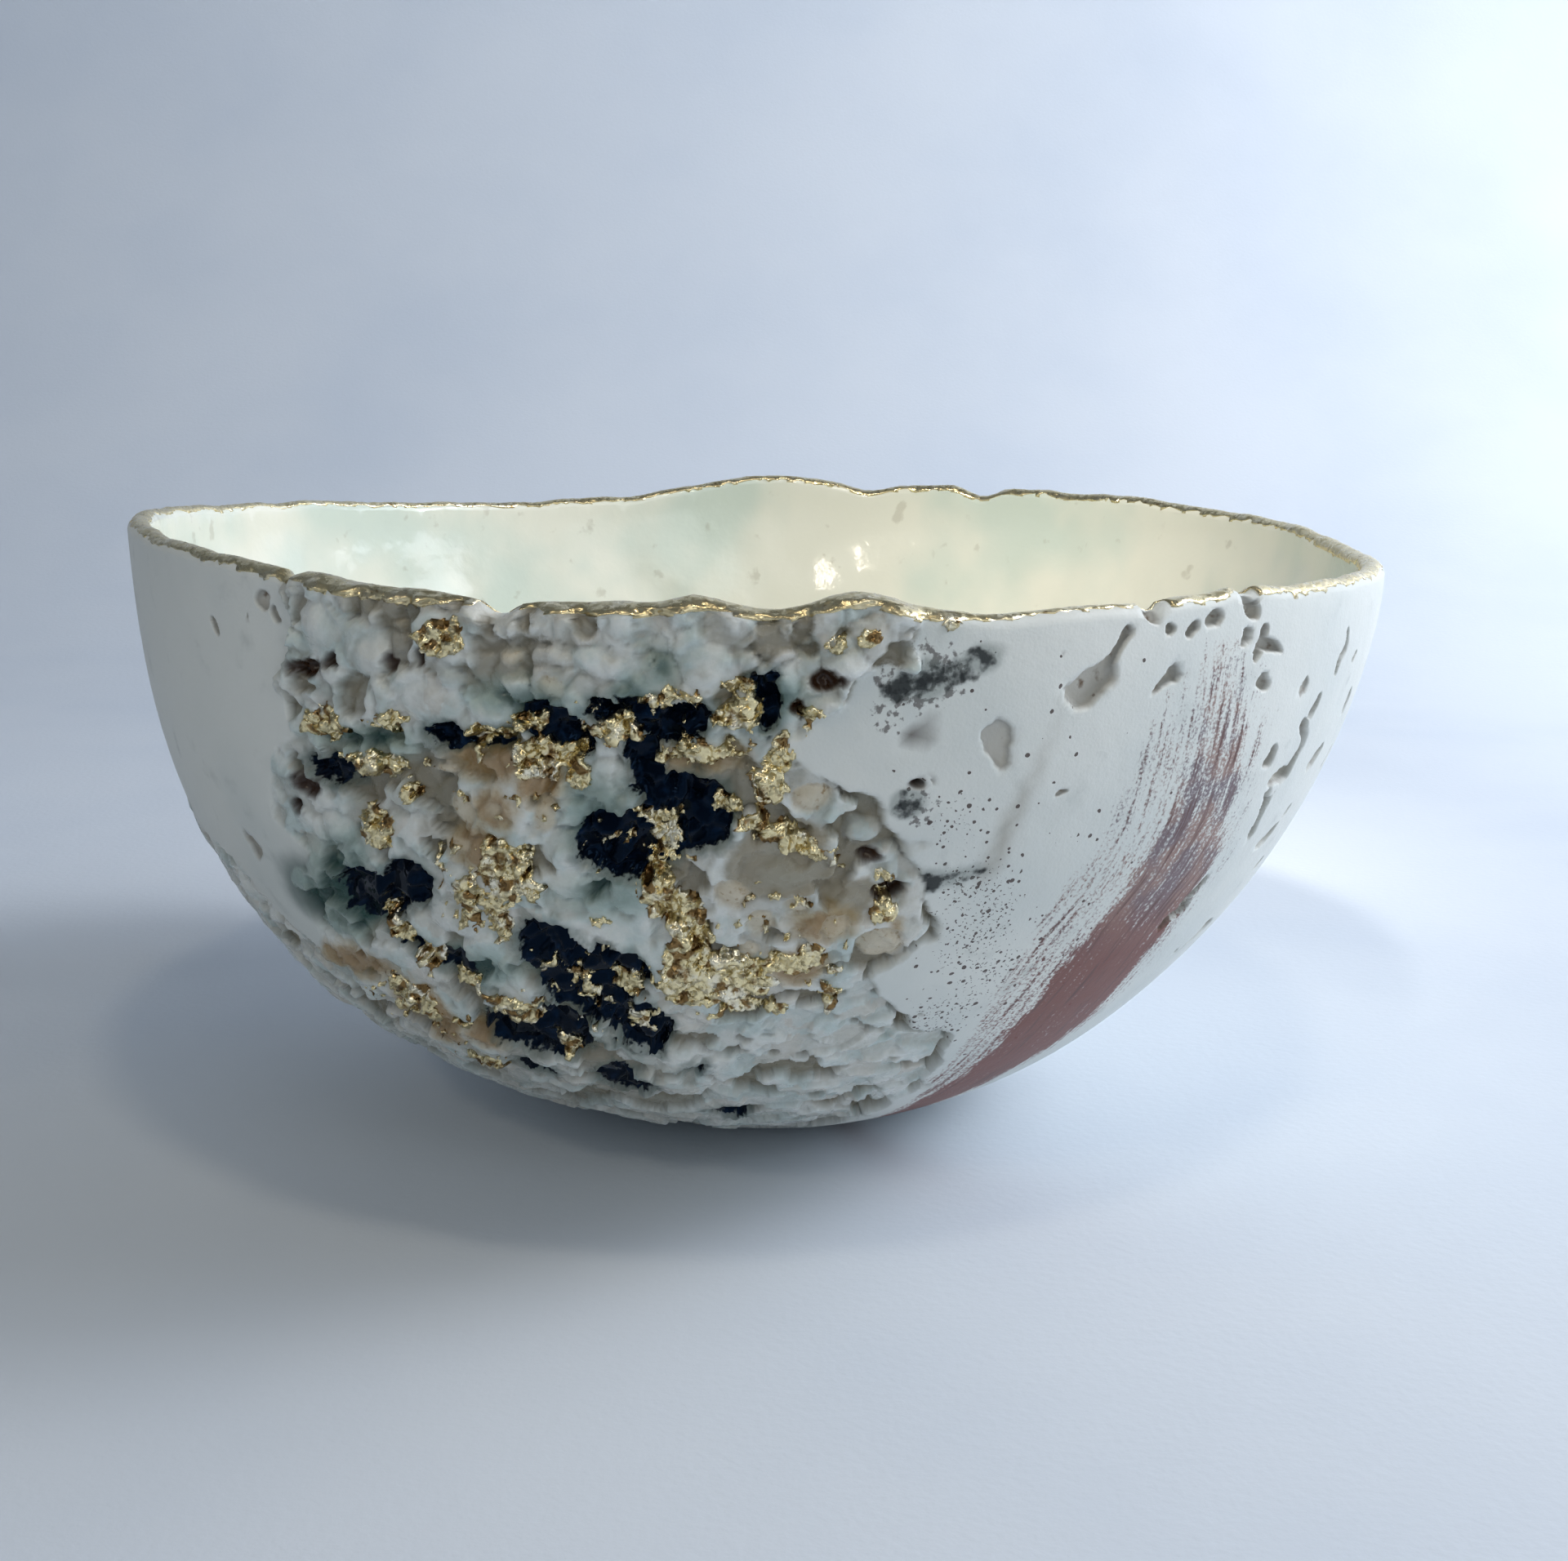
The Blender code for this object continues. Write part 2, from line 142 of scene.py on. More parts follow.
# the crust: where its edge runs, as azimuth and height share, and how it is built up
crust = {
    "outline": [
        (-37.0, 1.10), (-36.5, 0.93), (-38.5, 0.86), (-38.0, 0.79), (-41.0, 0.75),
        (-43.5, 0.66), (-40.5, 0.61), (-45.0, 0.55), (-44.5, 0.48), (-46.5, 0.43),
        (-51.5, 0.47), (-54.0, 0.54), (-61.0, 0.56), (-70.0, 0.62), (-82.0, 0.58),
        (-92.0, 0.47), (-97.0, 0.33), (-88.0, 0.19), (-64.0, 0.07), (-24.0, 0.02),
        (6.0, 0.04), (17.0, 0.12), (21.0, 0.22), (20.0, 0.33), (13.0, 0.38),
        (10.0, 0.46), (15.0, 0.54), (13.0, 0.62), (11.5, 0.70), (5.0, 0.77),
        (3.0, 0.81), (6.0, 0.87), (11.0, 0.92), (13.0, 1.10),
    ],
    "depth": 2.3,
    "depthTop": 0.9,
    "topFrom": 0.78,
    "topTo": 0.92,
    "ragged": 1.5,
    "raggedLength": 6.0,
    "scallop": 1.6,  # the skin ends in round lobes like icing
    "scallopLength": 4.2,
    "edgeRun": 0.5,
    "coarseLump": 6.5,
    "coarseRise": 0.55,
    "midLump": 3.4,
    "smallLump": 1.5,
    "island": 6.2,  # the skin breaks up into islands, and gaps go down between them
    "islandRise": 1.4,
    "crumb": 3.0,
    "crumbRise": 0.5,
    "flake": 6.4,
    "flakeSquash": 2.1,  # flakes are this many times longer than high
    # where lumps and flakes take over: height shares, and one pair of azimuths
    "lumpyOver": (0.72, 0.80),
    "flakyRight": (-13.0, -4.0),
    "flakyUnder": (0.52, 0.44),
    "flakyFoot": (0.30, 0.20),
    "lobeRise": 0.34,
    "pitBend": 1.5,
    "pitBendLength": 3.6,
    "shard": 2.4,  # facets of the glass
    "glassSpread": 0.45,
    # ovals on the wall: azimuth, height, half width, half height, turn in degrees
    "navyGlass": [
        (-23, 61.6, 1.6, 0.9), (-20, 61.7, 1.9, 0.8), (-14, 63.1, 3.3, 1.9, -30),
        (-10, 65.2, 2.2, 1.0), (-6, 64.2, 3.2, 1.8), (1, 66.2, 1.2, 2.2), (-8, 59.9, 1.4, 2.5),
        (-10, 50.7, 4.8, 3.6), (-5, 54.4, 3.9, 3.8), (-18, 37.1, 3.4, 4.3), (-16, 32.9, 5.0, 5.6),
        (-13, 35.5, 3.7, 3.1), (-23, 25.3, 6.0, 4.1), (-12, 27.2, 3.2, 4.4), (-17, 17.6, 3.1, 3.4),
        (-27, 18.7, 2.1, 1.8), (-35, 41.6, 4.8, 3.0), (-30, 44.1, 2.6, 2.6),
        (-30, 35.0, 4.3, 1.4, -40), (-35, 56.1, 2.2, 1.1), (-8, 20.9, 1.2, 1.1),
        (-6, 10.8, 1.9, 2.9),
    ],
    "darkHoles": [
        (-38, 54.1, 2.5, 1.4), (-40, 51.3, 1.1, 1.5), (-35, 67.4, 2.9, 1.5), (-32, 68.7, 1.1, 0.9),
        (5, 68.5, 1.6, 1.0), (-27, 68.8, 0.6, 0.9), (-24, 69.8, 0.6, 0.8), (3, 65.6, 1.0, 0.9),
        (10, 45.5, 1.9, 1.2), (8.5, 49.5, 1.2, 0.8), (12.5, 62.8, 1.6, 0.9), (11.8, 57.6, 1.3, 0.8),
    ],
    "tealGlaze": [
        (-12, 53.9, 2.5, 4.5), (-12, 45.2, 3.6, 1.6), (-41, 40.5, 7.0, 5.5), (-26, 34.5, 4.2, 2.2),
        (-16, 66.0, 3.4, 1.3), (-6, 69.7, 1.1, 1.4), (-8, 67.3, 1.2, 1.0), (2, 67.0, 1.5, 1.1),
        (-31, 60.3, 4.4, 1.2), (-36, 47.0, 3.0, 2.4),
    ],
    "ochreStain": [
        (-20, 59.3, 5.0, 3.0), (-16, 57.3, 2.8, 2.8), (3, 36.5, 3.6, 3.2), (-4, 60.4, 4.8, 2.0),
        (-22, 49.6, 3.9, 3.0), (-42, 31.7, 7.4, 2.9), (-36, 26.0, 5.1, 6.2), (11, 41.6, 1.0, 1.2),
        (-20, 54.0, 3.0, 2.5), (5, 42.0, 4.0, 2.4), (-30, 24.0, 3.0, 2.4),
    ],
    "creamPebbles": [
        (-24, 57.6, 1.5, 0.8), (-23, 53.3, 1.8, 2.0), (-24, 49.4, 1.9, 1.1), (-16, 53.6, 1.3, 2.2),
        (-20, 54.0, 1.1, 1.1), (4, 56.3, 2.0, 1.6), (-2, 45.6, 2.0, 1.8), (0, 42.2, 1.6, 1.8),
        (6, 41.5, 1.6, 1.9), (-7, 60.1, 1.2, 1.8), (-17, 70.3, 1.4, 1.0), (-14, 67.5, 1.6, 1.4),
        (10, 39.0, 2.6, 2.8), (3, 44.6, 1.5, 1.3), (-1, 38.6, 1.2, 1.1),
    ],
    "greyGel": [(2, 48.5, 5.2, 3.0), (2, 51.5, 3.4, 2.0), (7, 45.0, 2.6, 2.2)],
    "paleLumps": [
        (-24, 65.0, 4.2, 2.7), (-19, 64.5, 2.8, 2.0), (-29, 70.3, 3.1, 3.3), (-33, 71.6, 2.9, 3.3),
        (-22, 67.7, 1.6, 1.3), (-3, 69.8, 2.9, 2.5), (-15, 49.9, 3.0, 2.6), (5, 65.5, 2.4, 1.7),
        (-26, 40.3, 5.1, 2.4), (-15, 45.8, 2.6, 2.0), (-36, 49.6, 2.6, 2.2), (-9, 70.0, 2.0, 2.0),
        (-25, 45.8, 2.2, 1.8), (8, 52.4, 2.2, 1.4), (9.5, 49.6, 2.0, 1.2),
    ],
}

# round pits in the skin: azimuth and height share of both ends, radius, depth
pits = [
    (30.0, 0.966, 30.0, 0.962, 1.0, 1.3), (32.3, 0.953, 32.0, 0.950, 0.8, 1.3),
    (34.0, 0.937, 34.6, 0.944, 1.1, 1.5), (36.5, 0.956, 36.7, 0.948, 1.2, 1.5),
    (40.0, 0.958, 41.2, 0.958, 1.1, 1.5), (39.5, 0.920, 39.4, 0.912, 0.9, 1.4),
    (42.5, 0.928, 42.0, 0.885, 1.0, 1.5), (42.6, 0.905, 44.6, 0.900, 0.8, 1.4),
    (43.0, 0.846, 43.0, 0.842, 0.9, 1.3), (57.0, 0.895, 56.0, 0.836, 0.8, 1.4),
    (27.5, 0.945, 26.2, 0.909, 1.1, 1.5), (25.6, 0.890, 24.4, 0.862, 1.8, 1.5),
    (31.3, 0.866, 32.2, 0.876, 1.0, 1.4), (17.6, 0.825, 17.4, 0.792, 1.5, 0.8),
    (47.2, 0.740, 46.8, 0.718, 1.1, 1.3), (52.0, 0.765, 52.2, 0.695, 1.0, 1.6),
    (52.0, 0.695, 49.0, 0.690, 0.9, 1.5), (50.2, 0.668, 49.8, 0.612, 1.2, 1.5),
    (53.5, 0.803, 52.6, 0.790, 0.8, 1.3), (60.0, 0.712, 57.5, 0.690, 0.9, 1.3),
    (58.0, 0.615, 54.5, 0.565, 1.0, 1.4), (44.5, 0.532, 43.2, 0.515, 0.9, 1.1),
    (43.5, 0.500, 41.2, 0.470, 1.0, 1.3), (55.5, 0.420, 52.0, 0.385, 1.1, 1.3),
    (-39.5, 0.975, -39.6, 0.972, 1.1, 0.8), (-38.2, 0.965, -37.6, 0.950, 0.9, 1.0),
    (-46.0, 0.934, -45.8, 0.926, 0.8, 0.8), (-44.6, 0.878, -44.2, 0.872, 0.7, 0.8),
    (-49.8, 0.592, -49.0, 0.582, 0.9, 1.1),
    # small nicks and slits that the solid leaves out
    (-44.2, 0.822, -43.8, 0.812, 0.35, 0.5), (-41.5, 0.958, -41.5, 0.957, 0.5, 0.5),
    (-36.0, 0.936, -36.1, 0.932, 0.5, 0.5), (-52.5, 1.004, -52.0, 1.002, 0.45, 0.4),
    (24.6, 0.727, 23.6, 0.724, 0.45, 0.5), (12.3, 0.757, 11.2, 0.755, 0.7, 0.7),
    (22.2, 0.934, 22.1, 0.932, 0.35, 0.4), (13.2, 0.345, 12.7, 0.330, 0.8, 0.7),
    (15.0, 0.395, 15.1, 0.393, 0.6, 0.5), (46.5, 0.800, 46.2, 0.790, 0.4, 0.5),
    (50.0, 0.845, 49.8, 0.838, 0.4, 0.5), (61.0, 0.860, 60.6, 0.850, 0.6, 0.7),
    (64.0, 0.790, 63.0, 0.770, 0.7, 0.8), (59.5, 0.520, 58.0, 0.500, 0.7, 0.8),
    (48.5, 0.900, 48.3, 0.893, 0.45, 0.5), (66.0, 0.690, 65.0, 0.665, 0.7, 0.9),
]


# height of the lip's top edge
def rimTop(azimuth):
    height = np.full_like(azimuth, bowl["rimHeight"])
    for times, rise, crest in bowl["rimSwells"]:
        height += rise * np.cos(np.radians(times * (azimuth - crest)))
    for centre, width, rise in bowl["rimRises"]:
        height += rise * np.exp(-(angleBetween(azimuth, centre) / width) ** 2)
    for centre, width, depth in bowl["rimNicks"]:
        height -= depth * np.exp(-(angleBetween(azimuth, centre) / width) ** 4)
    around = np.radians(azimuth)
    ring = bowl["rimRadius"] * np.stack([np.cos(around), np.sin(around), 0.0 * around], axis=-1)
    return height + bowl["tear"] * noiseAt(ring, bowl["tearLength"])


def curveHeight(azimuth):
    tilt = bowl["sideTilt"] * np.sin(np.radians(azimuth))
    return bowl["rimHeight"] + bowl["footGroundOff"] - tilt


# level is 0 at the bottom of the outer curve and 1 where it is upright
def levelOf(azimuth, height):
    return (height + bowl["footGroundOff"]) / curveHeight(azimuth)


def wallCurve(azimuth, level):
    shoulder = bowl["shoulder"] - bowl["shoulderSkew"] * np.sin(np.radians(azimuth))
    belowTop = np.clip(1.0 - level, 0.0, 1.0)
    radius = bowl["rimRadius"] * (1.0 - belowTop**shoulder) ** (1.0 / bowl["fullness"])
    return radius, level * curveHeight(azimuth) - bowl["footGroundOff"]


def toSpace(azimuth, radius, height):
    around = np.radians(azimuth)
    lean = height + bowl["footGroundOff"]
    lean = bowl["sideLean"] * lean / (bowl["rimHeight"] + bowl["footGroundOff"])
    return np.stack([radius * np.sin(around) - lean, -radius * np.cos(around), height], axis=-1)


def onWall(azimuth, height):
    return toSpace(azimuth, *wallCurve(azimuth, levelOf(azimuth, height)))


def wallThickness(height):
    share = height / bowl["rimHeight"]
    foot = smooth(0.0, bowl["footWallTo"], share)
    body = mixed(bowl["footWall"], bowl["bodyWall"], foot)
    return mixed(body, bowl["lipWall"], smooth(bowl["lipWallFrom"], bowl["lipWallTo"], share))


# the plain shell: points, the outer curve's normals, how far each point takes the outer
# relief, its height on the outer curve, and how far it is below the lip's top edge
def shellPoint(azimuth, travel):
    top = rimTop(azimuth) - bowl["lipRound"]
    share = np.clip(np.where(travel < 1.5, travel, bowl["travelEnd"] - travel), 0.0, 1.0)
    turn = np.clip(travel - 1.0, 0.0, 1.0) * math.pi
    step = 1e-4  # of travel, for the slope
    level = levelOf(azimuth, top) * (1.0 - np.cos(share * math.pi / 2.0))
    levelNext = levelOf(azimuth, top) * (1.0 - np.cos((share + step) * math.pi / 2.0))
    radius, height = wallCurve(azimuth, level)
    radiusNext, heightNext = wallCurve(azimuth, levelNext)
    run = radiusNext - radius
    rise = heightNext - height
    out = rise / np.hypot(run, rise)
    up = -run / np.hypot(run, rise)
    depth = wallThickness(height) * (1.0 - np.cos(turn)) / 2.0
    lift = bowl["lipRound"] * np.sin(turn)
    points = toSpace(azimuth, radius - out * depth, height - up * depth + lift)
    around = np.radians(azimuth)
    normals = np.stack([out * np.sin(around), -out * np.cos(around), up], axis=-1)
    belowLip = top + bowl["lipRound"] - points[:, 2]
    return points, normals, np.clip(np.cos(turn), 0.0, 1.0), height, belowLip


def segmentDistance(points, start, end):
    run = end - start
    share = np.clip((points - start) @ run / max(float(run @ run), 1e-6), 0.0, 1.0)
    return np.linalg.norm(points - start - share[:, None] * run, axis=1)


# distance from the crust's outline, positive inside it
def crustDistance(points, azimuth, height):
    share = height / bowl["rimHeight"]
    nearest = np.full(len(points), 1000.0)
    inside = np.zeros(len(points), dtype=bool)
    corners = crust["outline"]
    for (azA, shareA), (azB, shareB) in zip(corners, corners[1:] + corners[:1]):
        start = onWall(azA, shareA * bowl["rimHeight"])
        end = onWall(azB, shareB * bowl["rimHeight"])
        nearest = np.minimum(nearest, segmentDistance(points, start, end))
        if shareA == shareB:
            continue
        crossing = azA + (share - shareA) * (azB - azA) / (shareB - shareA)
        spans = (share >= min(shareA, shareB)) & (share < max(shareA, shareB))
        inside ^= spans & (azimuth < crossing)
    return np.where(inside, nearest, -nearest)


farOff = 50.0  # stands for nowhere near an oval
ovalDepth = 12.0  # an oval marks only the wall that is this near to it


# millimetres inside the nearest of some ovals, and the height share of its dome
def ovalField(points, ovals):
    best = np.full(len(points), -farOff)
    dome = np.zeros(len(points))
    for azimuth, height, halfWidth, halfHeight, *turn in ovals:
        centre = onWall(azimuth, height)
        around = math.radians(azimuth)
        east = np.array([math.cos(around), math.sin(around), 0.0])
        slope = onWall(azimuth, height + 1.0) - centre
        slope = slope / np.linalg.norm(slope)
        angle = math.radians(turn[0] if turn else 0.0)
        x = (points - centre) @ east
        y = (points - centre) @ slope
        alongX = x * math.cos(angle) + y * math.sin(angle)
        alongY = y * math.cos(angle) - x * math.sin(angle)
        across = (points - centre) @ np.cross(east, slope)
        reach = np.sqrt((alongX / halfWidth) ** 2 + (alongY / halfHeight) ** 2)
        reach = reach + np.where(np.abs(across) > ovalDepth, farOff, 0.0)
        best = np.maximum(best, (1.0 - reach) * min(halfWidth, halfHeight))
        dome = np.maximum(dome, np.sqrt(np.clip(1.0 - reach**2, 0.0, 1.0)))
    return best, dome


def pitsNear(points):
    for azA, shareA, azB, shareB, radius, depth in pits:
        start = onWall(azA, shareA * bowl["rimHeight"])
        end = onWall(azB, shareB * bowl["rimHeight"])
        yield segmentDistance(points, start, end), radius, depth


# the mesh: a coarse closed shell, then edges halved where the place asks for it
def firstMesh():
    rings = bowl["firstRings"]
    columns = bowl["firstColumns"]
    outside = [i / rings for i in range(1, rings + 1)]
    lip = [1.0 + i / (bowl["lipRings"] + 1) for i in range(1, bowl["lipRings"] + 1)]
    travels = outside + lip + [bowl["travelEnd"] - share for share in reversed(outside)]
    turns = [2.0 * math.pi * column / columns for column in range(columns)]
    places = [(math.sin(t), math.cos(t), travel) for travel in travels for t in turns]
    bottom = len(places)
    places += [(0.0, 0.0, 0.0), (0.0, 0.0, bowl["travelEnd"])]
    faces = []
    last = (len(travels) - 1) * columns
    for column in range(columns):
        after = (column + 1) % columns
        faces.append((bottom, after, column))
        faces.append((bottom + 1, last + column, last + after))
        for ring in range(0, last, columns):
            above = ring + columns
            faces.append((ring + column, ring + after, above + after))
            faces.append((ring + column, above + after, above + column))
    return np.array(places), np.array(faces)


# halves the edges that are longer than their ends allow; rows holds what each vertex carries
def splitLongEdges(rows, faces, points, limit, slack=1.35):
    pairs = np.sort(faces[:, [0, 1, 1, 2, 2, 0]].reshape(-1, 2), axis=1)
    edges, which = np.unique(pairs, axis=0, return_inverse=True)
    length = np.linalg.norm(points[edges[:, 0]] - points[edges[:, 1]], axis=1)
    isLong = length > slack * np.minimum(limit[edges[:, 0]], limit[edges[:, 1]])
    if not isLong.any():
        return rows, faces, False
    middle = np.full(len(edges), -1)
    middle[isLong] = len(rows) + np.arange(isLong.sum())
    halves = (rows[edges[isLong, 0]] + rows[edges[isLong, 1]]) / 2.0
    placed = np.vstack([points, (points[edges[isLong, 0]] + points[edges[isLong, 1]]) / 2.0])
    rows = np.vstack([rows, halves])
    middle = middle[which.reshape(-1, 3)]
    faces = faces.copy()
    count = (middle >= 0).sum(axis=1)
    for _ in range(2):
        turned = (count > 0) & (count < 3) & ~((middle[:, 0] >= 0) & (middle[:, 2] < 0))
        faces[turned] = np.roll(faces[turned], -1, axis=1)
        middle[turned] = np.roll(middle[turned], -1, axis=1)
    a, b, c = faces.T
    ab, bc, ca = middle.T
    fromA = np.linalg.norm(placed[a] - placed[np.maximum(bc, 0)], axis=1)
    fromC = np.linalg.norm(placed[c] - placed[np.maximum(ab, 0)], axis=1)
    one = count == 1
    short = (count == 2) & (fromA < fromC)
    other = (count == 2) & ~short
    three = count == 3
    parts = [faces[count == 0]]
    for chosen, corners in (
        (one, [(a, ab, c), (ab, b, c)]),
        (short, [(ab, b, bc), (a, ab, bc), (a, bc, c)]),
        (other, [(ab, b, bc), (a, ab, c), (ab, bc, c)]),
        (three, [(a, ab, ca), (ab, b, bc), (ca, bc, c), (ab, bc, ca)]),
    ):
        for corner in corners:
            parts.append(np.stack([index[chosen] for index in corner], axis=1))
    return rows, np.vstack(parts), True


def edgeLimit(points, azimuth, height, travel):
    front = smooth(100.0, 62.0, np.abs(azimuth))
    limit = np.where(travel > 1.5, bowl["insideEdge"], bowl["skinEdge"])
    frontSkin = (travel <= 1.0) & (np.abs(azimuth) < bowl["seenTo"])
    limit = np.where(frontSkin, bowl["frontSkinEdge"], limit)
    lipEdge = mixed(bowl["lipEdgeBehind"], bowl["lipEdge"], front)
    fromLip = np.abs(travel - 1.5) - 0.5
    nearLip = lipEdge + bowl["edgeGrowth"] * 100.0 * np.maximum(fromLip - 0.02, 0.0)
    limit = np.minimum(limit, nearLip)
    outer = (travel <= 1.0) & (height > -1.0)
    outside = np.maximum(-crustDistance(points, azimuth, height) - 1.0, 0.0)
    inSight = smooth(-bowl["seenTo"], 10.0 - bowl["seenTo"], azimuth)
    crustEdge = mixed(bowl["crustEdgeBehind"], bowl["crustEdge"], inSight)
    limit = np.where(outer, np.minimum(limit, crustEdge + bowl["edgeGrowth"] * outside), limit)
    for away, radius, depth in pitsNear(points):
        nearPit = bowl["pitEdgeShare"] * radius + bowl["edgeGrowth"] * np.maximum(away - radius, 0)
        limit = np.where(outer, np.minimum(limit, nearPit), limit)
    return limit


def refinedMesh():
    places, faces = firstMesh()
    for _ in range(9):
        azimuth = np.degrees(np.arctan2(places[:, 0], places[:, 1]))
        points, normals, carving, height, belowLip = shellPoint(azimuth, places[:, 2])
        limit = edgeLimit(points, azimuth, height, places[:, 2])
        places, faces, changed = splitLongEdges(places, faces, points, limit)
        if not changed:
            break
    azimuth = np.degrees(np.arctan2(places[:, 0], places[:, 1]))
    return azimuth, places[:, 2], faces


farField = 4.0  # mm from a pool's edge at which its field ends


# relief and the fields that the colours follow
def domeOf(nearest):
    return np.clip(1.0 - 1.9 * nearest**2, -0.35, 1.0)


def crustRelief(points, azimuth, height):
    share = height / bowl["rimHeight"]
    distance = crustDistance(points, azimuth, height)
    distance += crust["ragged"] * noiseAt(points, crust["raggedLength"])
    nearest, _, _, _ = cellsAt(points, crust["scallopLength"], 3.7)
    scallop = crust["scallop"] * (1.0 + 0.9 * smooth(-6.0, 4.0, azimuth))
    distance += scallop * (0.5 - nearest) + 0.35 * noiseAt(points, 2.4)
    within = smooth(0.0, crust["edgeRun"], distance)

    warp = [noiseAt(points, 2.6, shift) for shift in (11.0, 23.0, 37.0)]
    warped = points + 0.9 * np.stack(warp, axis=-1)
    coarse, _, _, _ = cellsAt(points, crust["coarseLump"])
    mid, midNext, midSeed, midTilt = cellsAt(warped, crust["midLump"], 5.3)
    small, _, _, _ = cellsAt(warped, crust["smallLump"], 9.1)
    fine = noiseAt(points, 0.8)

    # islands keep near the skin's height close to the crust's edge and thin out further in
    # and on the right a gap runs just inside the skin's lobed edge
    undercut = smooth(-8.0, 0.0, azimuth) * np.exp(-((np.maximum(distance, 0.0) / 1.3) ** 2))
    nearEdge = 0.3 * np.exp(-np.maximum(distance, 0.0) / 2.5) - 0.75 * undercut
    island = smooth(-0.26, -0.13, crumbleAt(warped, crust["island"], 2.0, 0.6) + nearEdge)
    crumb = smooth(-0.20, -0.06, crumbleAt(warped, crust["crumb"], 8.0, 0.3))
    flat = warped * np.array([1.0, 1.0, crust["flakeSquash"]])
    flake = smooth(-0.26, -0.18, crumbleAt(flat, crust["flake"], 1.0, 0.35) + nearEdge)
    chip = smooth(-0.06, 0.04, crumbleAt(flat, 0.75 * crust["flake"], 5.0, 0.3))

    midSeam = 1.0 - smooth(0.0, 0.20, midNext - mid)
    eroded = crust["islandRise"] * island + crust["crumbRise"] * crumb
    gel = eroded + crust["lobeRise"] * domeOf(mid) + 0.06 * domeOf(small) + 0.16 * midTilt
    topLumps = 0.8 * eroded + 0.75 * domeOf(mid) * (0.4 + midSeed)
    topLumps += 0.12 * domeOf(small) - 0.25 * midSeam
    flakes = 1.25 * flake + 0.55 * chip + 0.12 * midTilt
    isTop = smooth(*crust["lumpyOver"], share)
    isFlaky = smooth(*crust["flakyRight"], azimuth) * smooth(*crust["flakyUnder"], share)
    isFlaky = np.maximum(isFlaky, 0.7 * smooth(*crust["flakyFoot"], share))
    relief = mixed(mixed(gel, topLumps, isTop), flakes, isFlaky)
    gap = np.maximum(1.0 - island, 0.35 * (1.0 - crumb))
    topGap = 0.8 * gap + 0.35 * midSeam
    flakeGap = 1.0 - flake * (0.85 + 0.15 * chip)
    # seam marks the gaps between lumps and flakes; the material paints them olive and darker, partly as
    # painted shade
    seam = np.clip(mixed(mixed(gap, topGap, isTop), flakeGap, isFlaky), 0.0, 1.0)

    lumpEdge, lumpDome = ovalField(points, crust["paleLumps"])
    pebbleEdge, pebbleDome = ovalField(points, crust["creamPebbles"])
    gelEdge, gelDome = ovalField(points, crust["greyGel"])
    wander = 0.35 * noiseAt(points, 1.6, 17.0)
    isLump = smooth(-0.2, 0.4, lumpEdge + wander)
    isPebble = smooth(-0.1, 0.35, pebbleEdge + wander)
    relief = mixed(relief, 0.35 * relief + 1.5 * lumpDome + 0.1, isLump)
    relief = mixed(relief, 0.3 * relief + 1.1 * pebbleDome + 0.1, isPebble)
    relief = mixed(relief, 0.4 * relief + 1.0 * gelDome, smooth(0.0, 0.8, gelEdge))
    seam = seam * (1.0 - 0.8 * isPebble) * (1.0 - 0.8 * isLump)
    relief += crust["coarseRise"] * domeOf(coarse) * (1.0 - 0.6 * isFlaky) + 0.03 * fine

    # edges that break along the shards
    _, _, shardSeed, shardTilt = cellsAt(points, crust["shard"], 1.4)
    angular = 0.9 * (shardSeed - 0.5) + 0.45 * noiseAt(points, 1.5, 4.0) + 0.2 * fine
    glassEdge, _ = ovalField(points, crust["navyGlass"])
    glassEdge = glassEdge + angular + crust["glassSpread"]
    glass = 0.9 * shardSeed + 1.1 * shardTilt - 0.35
    relief = mixed(relief, glass, smooth(-0.15, 0.3, glassEdge))
    holeEdge, _ = ovalField(points, crust["darkHoles"])
    holeEdge = holeEdge + 0.7 * angular
    relief = mixed(relief, relief - 1.5, smooth(-0.1, 0.7, holeEdge))
    tealEdge, _ = ovalField(points, crust["tealGlaze"])
    ochreEdge, _ = ovalField(points, crust["ochreStain"])

    isShallow = smooth(crust["topFrom"], crust["topTo"], share)
    sunk = mixed(crust["depth"], crust["depthTop"], isShallow)
    rise = within * (relief - sunk)
    # the holes at the crust's rim cut into the skin too
    rise -= (1.0 - within) * 1.2 * smooth(0.0, 0.7, holeEdge)
    ripple = noiseAt(points, 2.2, 31.0)
    pit = np.zeros(len(points))
    isPit = np.zeros(len(points))
    # burst bubbles are never round or straight, so the places are bent before they are measured
    bent = [noiseAt(points, crust["pitBendLength"], shift) for shift in (51.0, 63.0, 77.0)]
    bent = points + crust["pitBend"] * np.stack(bent, axis=-1)
    for away, radius, depth in pitsNear(bent):
        away = away + radius * (0.12 * fine + 0.3 * ripple)
        pit = np.maximum(pit, depth * (1.0 - smooth(0.62 * radius, radius, away)))
        isPit = np.maximum(isPit, 1.0 - smooth(0.6 * radius, 1.05 * radius, away))
    fields = {
        "within": within,
        "seam": seam,
        "seed": midSeed,
        "glass": np.clip(glassEdge, -farField, farField),
        "teal": tealEdge,
        "ochre": ochreEdge,
        "pebble": isPebble,
        "gel": smooth(-1.4, 0.8, gelEdge),
        "hole": smooth(-0.2, 0.5, holeEdge),
        "pit": isPit,
    }
    return rise - pit, fields


print("refining the mesh")
azimuth, travel, faces = refinedMesh()
points, normals, carving, height, belowLip = shellPoint(azimuth, travel)
print(len(faces), "faces")

outer = carving > 0.0
above = smooth(0.0, bowl["footBlend"], height)
